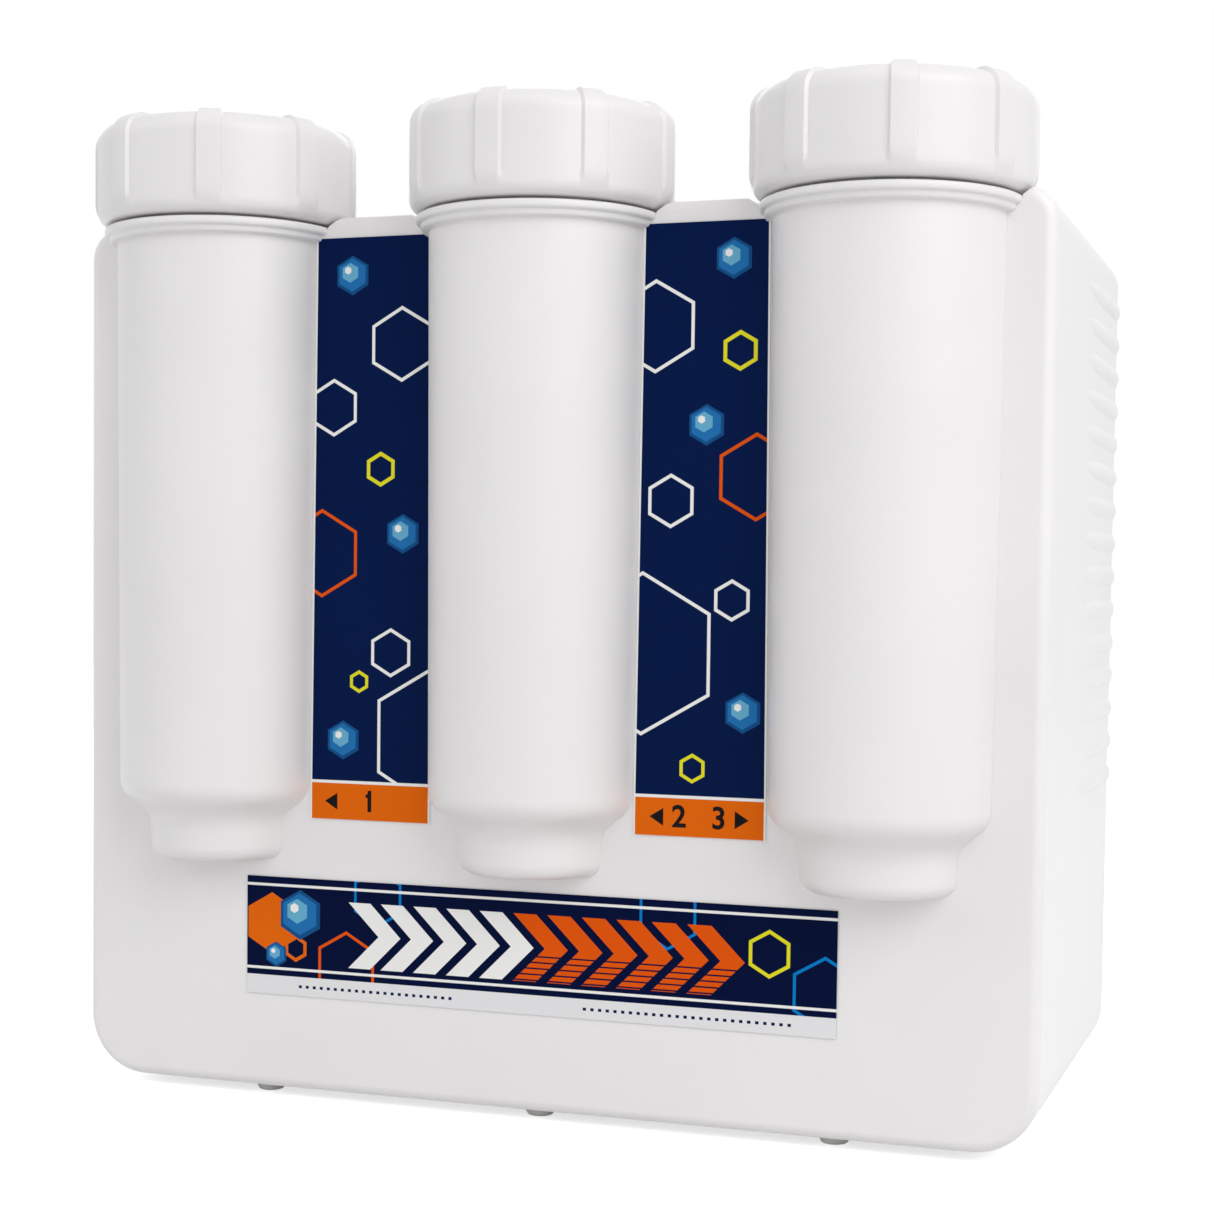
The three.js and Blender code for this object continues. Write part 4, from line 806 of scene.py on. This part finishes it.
# Bracket: a moulded plate behind the tubs, screwed to two bosses of the case. It is pierced for the
# tubs' ports, and spring clips moulded on its back hold the membrane housing and the post filter.
bracket_plastic = moulded("bracket plastic", shade(212, 215, 218), gloss=0.42)
bracket_front = 51
bracket_side = 172
bracket_top = 343.2
vessel_axis_y = 88
membrane_axis_z = 175
post_filter_axis_z = 240
membrane_axis = (vessel_axis_y, membrane_axis_z)
post_filter_axis = (vessel_axis_y, post_filter_axis_z)
housing_radius = 26
slim_radius = 24
clip_width = 14
clip_half_height = 10
clip_gap = 0.45
clip_thickness = 3
clip_sink = 1.9
inside_foot = 3.3
plate = block((-bracket_side, bracket_front, inside_foot), (bracket_side, bracket_back, bracket_top))
eased(plate, [edge for edge in plate.edges if edge.verts[0].co.y != edge.verts[1].co.y], 6, 6)
bases, arms = [], []
for (axis_y, axis_z), vessel_radius in ((membrane_axis, housing_radius), (post_filter_axis, slim_radius)):
    inner = vessel_radius + clip_gap
    outer = inner + clip_thickness
    start = Matrix.Rotation(math.radians(50), 4, "X")
    section = [start @ Vector((along, radius, 0)) for radius, along in (
        (inner, 0), (outer, 0), (outer, clip_width), (inner, clip_width))]
    for x in (-67, 53):
        bases.append(block((x, bracket_back - 1, axis_z - clip_half_height),
                           (x + clip_width, axis_y - vessel_radius - clip_sink, axis_z + clip_half_height)))
        arm = swept(section, math.radians(260), 52, axis=(1, 0, 0))
        arms.append(placed(arm, (x, axis_y, axis_z)))
plate = worked(worked(plate, gathered(bases), "UNION"), gathered(arms), "UNION")
drills = [placed(rod(8, 0, 6), (x, bracket_front - 2, z), along_y)
          for x in tub_places.values() for z in (inlet_height, outlet_height)]
drills += [placed(rod(1.9, 0, 6), (x, bracket_front - 2, z), along_y) for x, z in bracket_screw_places]
fitted("bracket_moulding", worked(plate, gathered(drills), "DIFFERENCE"), bracket_plastic,
       "bracket_plastic", "case", "filter_bracket")

# Storage tank: a blue pressure vessel welded from two moulded halves, with a ridge at the weld. It
# lies on two saddles joined by rails, which rest on the floor of the case.
tank_axis_y = 129.9965
tank_axis_z = 68
tank_axis = (tank_axis_y, tank_axis_z)
tank_radius = 58
tank_dome = 26
tank_length = 290
tank_left = -165
tank_neck_end = 304.7
weld_depth = 0.7
tank_plastic = moulded("tank plastic", shade(58, 110, 168), gloss=0.32, cloud=0.08)
dome = [(tank_radius * math.sin(k * math.pi / 24), tank_dome * (1 - math.cos(k * math.pi / 24)))
        for k in range(13)]
weld_steps = ((141, 0), (142, 1), (144, 1), (144.3, 0), (145.7, 0), (146, 1), (148, 1), (149, 0))
weld = [(tank_radius - weld_depth * sunk, height) for height, sunk in weld_steps]
tank = turned([*dome, *weld, *((r, tank_length - z) for r, z in dome[:1:-1]), (10, tank_length - 0.4),
               *rounded([(10, tank_length - 0.4, 0), (8, tank_length + 1, 0), (8, tank_neck_end, 0.8),
                         (0, tank_neck_end, 0)])[1:]])
fitted("tank_vessel", placed(tank, (tank_left, *tank_axis), along_x), tank_plastic, "tank_plastic",
       "case", "storage_tank")
vessel_plastic = moulded("vessel plastic", shade(238, 238, 236), gloss=0.36)
saddle_top = 42
saddle_left = -95
saddle_right = 55
saddles = [block((x - 9, tank_axis_y - 46, inside_foot), (x + 9, tank_axis_y + 46, saddle_top))
           for x in (saddle_left, saddle_right)]
for saddle in saddles:
    top_edges = [edge for edge in saddle.edges if min(v.co.z for v in edge.verts) > saddle_top - 1]
    eased(saddle, top_edges, 1.5, 3)
cradle = gathered(saddles)
rails = [block((saddle_left, y - 6, inside_foot), (saddle_right, y + 6, inside_foot + 5))
         for y in (tank_axis_y - 40, tank_axis_y + 40)]
cradle = worked(cradle, gathered(rails), "UNION")
tank_room = rod(tank_radius + fit_gap, -200, 200, around)
cradle = worked(cradle, placed(tank_room, (0, *tank_axis), along_x), "DIFFERENCE")
fitted("cradle_moulding", cradle, vessel_plastic, "vessel_plastic", "case", "tank_cradle")

# Tank valve: a moulded ball valve on the tank's neck with a spout for the tube. Its blue lever turns
# on a stem at the front.
valve_x = 153
valve_half = 13
valve_middle = Vector((valve_x, *tank_axis))
to_front = Matrix.Rotation(math.pi, 4, "Z") @ along_y
valve = block([at - valve_half for at in valve_middle], [at + valve_half for at in valve_middle])
eased(valve, valve.edges[:], 3, 4)
spout = turned(rounded([(0, 0, 0), (6, 0, 0), (6, 17, 1), (0, 17, 0)]), 48)
valve = worked(valve, placed(spout, valve_middle), "UNION")
stem = turned(rounded([(0, 0, 0), (2.6, 0, 0), (2.6, 19, 0.5), (0, 19, 0)]), 32)
valve = worked(valve, placed(stem, valve_middle, to_front), "UNION")
fitted("valve_body", valve, vessel_plastic, "vessel_plastic", "case", "tank_valve")
lever_plastic = moulded("lever plastic", shade(36, 86, 166), gloss=0.32)
lever_back = 116.6965
lever_length = 30
lever_half_width = 4
lever = placed(turned(rounded([(0, 0, 0), (8, 0, 0.6), (8, 6, 1.2), (0, 6, 0)]), 48),
               (valve_x, lever_back, tank_axis_z), to_front)
handle = block((valve_x, lever_back - 6, tank_axis_z - lever_half_width),
               (valve_x + lever_length, lever_back - 2, tank_axis_z + lever_half_width))
eased(handle, [edge for edge in handle.edges if min(v.co.x for v in edge.verts) > valve_x + 1
               or edge.verts[0].co.x != edge.verts[1].co.x], 1.2, 3)
lever = worked(lever, handle, "UNION")
stem_hole = placed(rod(2.9, -1, 8), (valve_x, lever_back + 0.5, tank_axis_z), to_front)
lever = worked(lever, stem_hole, "DIFFERENCE")
fitted("lever_handle", lever, lever_plastic, "lever_plastic", "tank_lever", "tank_valve_lever")

# Membrane housing: a white tube with stubs for its three waterways. Its fluted cap screws on at the
# left end over a rubber ring, and the membrane is rolled round a core tube inside.
housing_place = (-128, *membrane_axis)
stub_start = 117.5
drain_y = 103
feed_x = -100
housing = placed(turned(rounded([(0, 244, 0), (22.8, 244, 1), (22.8, 0, 0.5), (25, 0, 0.5), (25, 22, 0),
                                 (housing_radius, 22, 0.4), (housing_radius, 250, 4), (0, 250, 0)])),
                 housing_place, along_x)
stubs = [placed(rod(6, 0, 12.5, 48), (stub_start, y, membrane_axis_z), along_x)
         for y in (vessel_axis_y, drain_y)]
stubs.append(placed(rod(6, 199.3, 209, 48), (feed_x, vessel_axis_y, 0)))
housing = worked(housing, gathered(stubs), "UNION")
ways = [placed(rod(waterway_radius, -4, 15, 24), (stub_start, y, membrane_axis_z), along_x)
        for y in (vessel_axis_y, drain_y)]
ways.append(placed(rod(waterway_radius, 196, 211, 24), (feed_x, vessel_axis_y, 0)))
fitted("housing_tube", worked(housing, gathered(ways), "DIFFERENCE"), vessel_plastic, "vessel_plastic",
       "case", "membrane_housing")
end_cap_radius = 30
end_cap_left = -14
end_cap_right = 20
flutes = 20
flute_depth = 0.8
flute_rings = [(end_cap_radius, -11 + 2 * k) for k in range(1, 15)]
end_cap = turned([
    *rounded([(0, end_cap_left, 0), (end_cap_radius, end_cap_left, 2.4), (end_cap_radius, 0, 0)], 4)[:-1],
    *flute_rings,
    *rounded([(end_cap_radius, 10, 0), (end_cap_radius, end_cap_right, 0.8), (25.4, end_cap_right, 0.5),
              (25.4, -0.3, 0), (21.9, -0.3, 0), (21.9, 3.6, 0), (19.6, 3.6, 0), (19.6, 7, 0), (21.9, 7, 0),
              (21.9, 10, 0.6), (14, 10, 0.6), (14, -9, 1), (0, -9, 0)], 4)[1:]], 120)
for vert in end_cap.verts:
    from_left, from_right = vert.co.z - end_cap_left - 4, end_cap_right - 2 - vert.co.z
    if vert.co.xy.length > end_cap_radius - 0.1 and from_left > 0 and from_right > 0:
        bearing = math.atan2(vert.co.y, vert.co.x)
        dent = flute_depth * max(0, math.cos(bearing * flutes)) * min(1, from_left / 4, from_right / 4)
        vert.co.xy *= 1 - dent / end_cap_radius
fitted("housing_end_cap", placed(end_cap, housing_place, along_x), vessel_plastic, "vessel_plastic",
       "membrane_cap", "membrane_cap")
ring = turned(rounded([(19.9, 3.9, 1), (22.5, 3.9, 1), (22.5, 6.7, 1), (19.9, 6.7, 1)]))
fitted("housing_seal_ring", placed(ring, housing_place, along_x), seal_rubber, "seal_rubber",
       "membrane_seal", "membrane_cap_seal")
membrane_wrap = moulded("membrane wrap", shade(232, 234, 230), gloss=0.5, cloud=0.1, cloud_scale=40,
                        grain_scale=220, grain_height=0.0002)
lap_pitch = 12
laps = []
for k in range(17):
    laps += [(21, 28 + lap_pitch * k), (20.8, 28.3 + lap_pitch * k)]
element = turned([*rounded([(0, 13.7, 0), (8, 13.7, 0.6), (8, 19.7, 0), (22.4, 19.7, 0.8),
                            (22.4, 25.7, 0.8), (21, 25.7, 0), (21, 27, 0)]), *laps,
                  *rounded([(21, 232, 0), (21, 237.7, 1), (8, 237.7, 0), (8, 243.7, 0.6),
                            (0, 243.7, 0)])[1:]])
fitted("rolled_membrane", placed(element, housing_place, along_x), membrane_wrap, "membrane_wrap",
       "case", "membrane_element")

# Post filter: a slim cartridge of white plastic, sealed for good, with a tube stub moulded on each
# end. The upper clips of the bracket hold it.
slim = turned(rounded([(0, -8, 0), (6, -8, 0.8), (6, 0, 0.8), (18, 0, 0.8), (slim_radius, 6, 3),
                       (slim_radius, 174, 3), (18, 180, 0.8), (6, 180, 0.8), (6, 188, 0.8), (0, 188, 0)]))
fitted("slim_filter", placed(slim, (-78, *post_filter_axis), along_x), vessel_plastic,
       "vessel_plastic", "case", "post_filter")

# Fittings: push-in fittings of light grey plastic, with a lip at each mouth. They are the tee, the
# elbow with the check valve in it, and the flow restrictor. The shutoff valve is a white block.
fitting_plastic = moulded("fitting plastic", shade(212, 215, 218), gloss=0.38)
lip_radius = 7
tee_x = 120.3
elbow_x = 143.3
tube_start = 130.3
shutoff_y = 70
shutoff_heights = (300, 318)


def mouth(corner, end):
    """An arm of a fitting from its middle to its mouth."""
    reach = Vector(end) - Vector(corner)
    size = reach.length
    arm = turned(rounded([(0, 0, 0), (6.2, 0, 0), (6.2, size - 4, 0.3), (lip_radius, size - 4, 0.5),
                          (lip_radius, size, 0.8), (0, size, 0)], 3), 48)
    return placed(arm, corner, reach.to_track_quat("Z", "Y").to_matrix().to_4x4())


def fitting(corner, *ends):
    """A fitting whose arms meet in a ball."""
    ball = bmesh.new()
    bmesh.ops.create_uvsphere(ball, u_segments=40, v_segments=20, radius=lip_radius)
    whole = placed(ball, corner)
    for end in ends:
        whole = worked(whole, mouth(corner, end), "UNION")
    return whole


tee = fitting((tee_x, *post_filter_axis), (110.3, *post_filter_axis), (tee_x, 98, post_filter_axis_z),
              (tee_x, vessel_axis_y, 250))
fitted("tee_fitting", tee, fitting_plastic, "fitting_plastic", "case", "product_tee")
elbow = fitting((elbow_x, *membrane_axis), (tube_start, *membrane_axis), (elbow_x, vessel_axis_y, 188))
fitted("check_valve_elbow", elbow, fitting_plastic, "fitting_plastic", "case", "check_valve")
restrictor = turned(rounded([(0, 0, 0), (6, 0, 0.8), (6, 5, 0.5), (5.2, 6, 0.3), (5.2, 14, 0.3),
                             (6, 15, 0.5), (6, 20, 0.8), (0, 20, 0)], 3), 48)
fitted("restrictor_body", placed(restrictor, (tube_start, drain_y, membrane_axis_z), along_x),
       fitting_plastic, "fitting_plastic", "case", "flow_restrictor")
shutoff = block((-17, 53.3, 288), (17, 86.7, 330))
eased(shutoff, shutoff.edges[:], 3, 4)
arm = turned(rounded([(0, -25, 0), (6, -25, 0.8), (6, 25, 0.8), (0, 25, 0)]), 48)
arms = [placed(arm, (0, shutoff_y, z), along_x) for z in shutoff_heights]
fitted("shutoff_block", worked(shutoff, gathered(arms), "UNION"), vessel_plastic, "vessel_plastic",
       "case", "shutoff_valve")

# Tubing: quarter-inch tubes of white plastic. Each is pushed into the fittings at its two ends and
# runs between them in smooth bends.
tubing = moulded("white tubing", shade(240, 242, 243), gloss=0.3, cloud=0.05, grain_height=0.000006)
link_layer = 79
tub_mouth = 62.3
port_mouth = 174.6965
shutoff_mouth = 25.3
product_top = 285
tube_sidestep = 32
tube_radius = 3.2


def tube(name, corners, bend=16):
    """A tube that runs straight between the given points and bends round the corners between them."""
    corners = [Vector(point) for point in corners]
    path = [corners[0]]
    for before, here, after in zip(corners, corners[1:], corners[2:]):
        start = here + (before - here).normalized() * min(bend, (before - here).length / 2)
        end = here + (after - here).normalized() * min(bend, (after - here).length / 2)
        for k in range(9):
            t = k / 8
            path.append(start * (1 - t) ** 2 + here * 2 * t * (1 - t) + end * t * t)
    path.append(corners[-1])
    line = bpy.data.curves.new(name, "CURVE")
    line.dimensions = "3D"
    line.bevel_depth = tube_radius
    line.bevel_resolution = 4
    line.use_fill_caps = True
    run = line.splines.new("POLY")
    run.points.add(len(path) - 1)
    for point, spot in zip(run.points, path):
        point.co = (*spot, 1)
    shape = hardened(line)
    bmesh.ops.remove_doubles(shape, verts=shape.verts, dist=0.001)
    bmesh.ops.recalc_face_normals(shape, faces=shape.faces)
    fitted(f"{name}_run", shape, tubing, "tubing", "case", name)


feed_port_x, feed_port_z = port_places["feed"]
drain_port_x, drain_port_z = port_places["drain"]
tap_port_x, tap_port_z = port_places["tap"]
low, high = shutoff_heights
left_tub, middle_tub, right_tub = tub_places.values()
tube("feed_tube", [(feed_port_x, port_mouth, feed_port_z), (feed_port_x, link_layer, feed_port_z),
                   (feed_port_x, link_layer, inlet_height), (left_tub, link_layer, inlet_height),
                   (left_tub, tub_mouth, inlet_height)])
for name, x, after in (("tub_link_tube_left", left_tub, middle_tub),
                       ("tub_link_tube_right", middle_tub, right_tub)):
    tube(name, [(x, tub_mouth, outlet_height), (x, link_layer, outlet_height),
                (x + tube_sidestep, link_layer, outlet_height),
                (after - tube_sidestep, link_layer, inlet_height),
                (after, link_layer, inlet_height), (after, tub_mouth, inlet_height)])
riser_x = right_tub + tube_sidestep
tube("riser_tube", [(right_tub, tub_mouth, outlet_height), (right_tub, link_layer, outlet_height),
                    (riser_x, link_layer, outlet_height), (riser_x, shutoff_y, low),
                    (shutoff_mouth, shutoff_y, low)])
tube("membrane_feed_tube", [(-shutoff_mouth, shutoff_y, low), (feed_x, shutoff_y, low),
                            (feed_x, shutoff_y, 243.3), (feed_x, vessel_axis_y, 225.3),
                            (feed_x, vessel_axis_y, 209.3)], 7)
tube("permeate_tube", [(elbow_x, vessel_axis_y, 188.3), (elbow_x, vessel_axis_y, high),
                       (84.3, shutoff_y, high), (shutoff_mouth, shutoff_y, high)])
tube("product_tube", [(-shutoff_mouth, shutoff_y, high), (-57.3, shutoff_y, high),
                      (-57.3, tank_axis_y, product_top), (tee_x, tank_axis_y, product_top),
                      (tee_x, vessel_axis_y, product_top), (tee_x, vessel_axis_y, 250.3)])
tube("tank_tube", [(tee_x, 98.3, post_filter_axis_z), (tee_x, tank_axis_y, post_filter_axis_z),
                   (tee_x, tank_axis_y, 208), (valve_x, tank_axis_y, 175.3), (valve_x, tank_axis_y, 85.3)])
tube("drain_tube", [(150.6, drain_y, drain_port_z), (drain_port_x, drain_y, drain_port_z),
                    (drain_port_x, port_mouth, drain_port_z)], 7)
tube("tap_tube", [(-86.3, vessel_axis_y, tap_port_z), (tap_port_x, vessel_axis_y, tap_port_z),
                  (tap_port_x, port_mouth, tap_port_z)])

# Tube ports: grey bulkhead fittings through the cover, each with a blue collet that lets the outside
# tube go when it is pushed in.
collet_plastic = moulded("collet plastic", shade(47, 102, 176), gloss=0.34)
port_front = 174.9965
head_front = 194.9965
head_back = 203.9965
collet_front = 198.9965
collet_head = 205.7965
collet_back = 207.39
port = turned(rounded([(3.6, port_front, 0.4), (7, port_front, 0.8), (7, head_front, 0),
                       (10, head_front, 0.6), (10, head_back, 1.2), (4.8, head_back, 0.5),
                       (4.8, 196.9965, 0), (3.6, 196.9965, 0)], 4), 64)
collet = turned(rounded([(3.3, collet_front, 0.2), (4.4, collet_front, 0.3), (4.4, collet_head, 0),
                         (6, collet_head, 0.4), (6, collet_back, 0.6), (3.3, collet_back, 0.4)], 4), 64)
for place, (x, z) in port_places.items():
    fitted(f"{place}_port_body", placed(port, (x, 0, z), along_y), fitting_plastic, "fitting_plastic",
           "case", f"{place}_port")
    fitted(f"{place}_collet_ring", placed(collet, (x, 0, z), along_y), collet_plastic, "collet_plastic",
           f"{place}_collet", f"{place}_collet")

# Studio: a pale floor under white surroundings. A wide lamp lights the scene from the upper right,
# and weaker ones from above, from the upper left and from behind.
lens = bpy.data.cameras.new("camera")
lens.lens = 65.36
lens.sensor_width = 36
lens.sensor_fit = "HORIZONTAL"
lens.shift_y = 0.0688
camera = set_out("camera", lens)
camera_place = (0.316614, -0.891661, 0.2127)
yaw, pitch, roll = (math.radians(angle) for angle in (19.34, -2.63, 0.69))
ahead = Vector((-math.sin(yaw) * math.cos(pitch), math.cos(yaw) * math.cos(pitch), math.sin(pitch)))
level = Vector((math.cos(yaw), math.sin(yaw), 0))
upward = level.cross(ahead)
right = level * math.cos(roll) + upward * math.sin(roll)
up = upward * math.cos(roll) - level * math.sin(roll)
camera.matrix_world = Matrix.Translation(camera_place) @ Matrix((
    (right.x, up.x, -ahead.x, 0), (right.y, up.y, -ahead.y, 0), (right.z, up.z, -ahead.z, 0), (0, 0, 0, 1)))
bpy.context.scene.camera = camera

lamps = (("key light", 53, 33, 1.9, 1.4, 16.6), ("top light", 0, 75, 1.9, 1.2, 1.5),
         ("fill light", -55, 28, 1.9, 1, 4), ("back light", 200, 18, 2.2, 1.4, 8))
for name, bearing, height, distance, size, power in lamps:
    lamp = bpy.data.lights.new(name, "AREA")
    lamp.size = size
    lamp.energy = power
    stand = set_out(name, lamp)
    turn, rise = math.radians(bearing), math.radians(height)
    away = Vector((math.sin(turn) * math.cos(rise), -math.cos(turn) * math.cos(rise), math.sin(rise)))
    stand.location = away * distance + Vector((0, 0, 0.2))
    stand.rotation_mode = "QUATERNION"
    stand.rotation_quaternion = away.to_track_quat("Z", "Y")


def white_seen(tree):
    """1 for what is seen straight, mirrored or through glass, and 0 for what only gives light."""
    ray = added(tree, "ShaderNodeLightPath")
    return chain(tree, ("MAXIMUM", ray.outputs["Is Camera Ray"], ray.outputs["Is Glossy Ray"]),
                 ("MAXIMUM", "it", ray.outputs["Is Transmission Ray"]))


world = bpy.data.worlds.new("white surroundings")
world.use_nodes = True
bpy.context.scene.world = world
sky_light = world.node_tree.nodes["Background"]
soft = 0.63
strength = chain(world.node_tree, ("MULTIPLY_ADD", white_seen(world.node_tree), 1 - soft, soft))
world.node_tree.links.new(strength, sky_light.inputs["Strength"])
sky_light.inputs["Color"].default_value = (1, 1, 1, 1)

ground = bmesh.new()
bmesh.ops.create_grid(ground, x_segments=1, y_segments=1, size=4)
floor = set_out("floor", as_mesh("floor", ground))
pale = bpy.data.materials.new("pale floor")
pale.use_nodes = True
paint = pale.node_tree.nodes["Principled BSDF"]
paint.inputs["Base Color"].default_value = (0.78, 0.78, 0.78, 1)
paint.inputs["Roughness"].default_value = 0.9
paint.inputs["Specular IOR Level"].default_value = 0.1
paint.inputs["Emission Color"].default_value = (1, 1, 1, 1)
floor_glow = 0.64
glow = chain(pale.node_tree, ("MULTIPLY", white_seen(pale.node_tree), floor_glow))
pale.node_tree.links.new(glow, paint.inputs["Emission Strength"])
floor.data.materials.append(pale)
bpy.context.scene.view_settings.view_transform = "Standard"
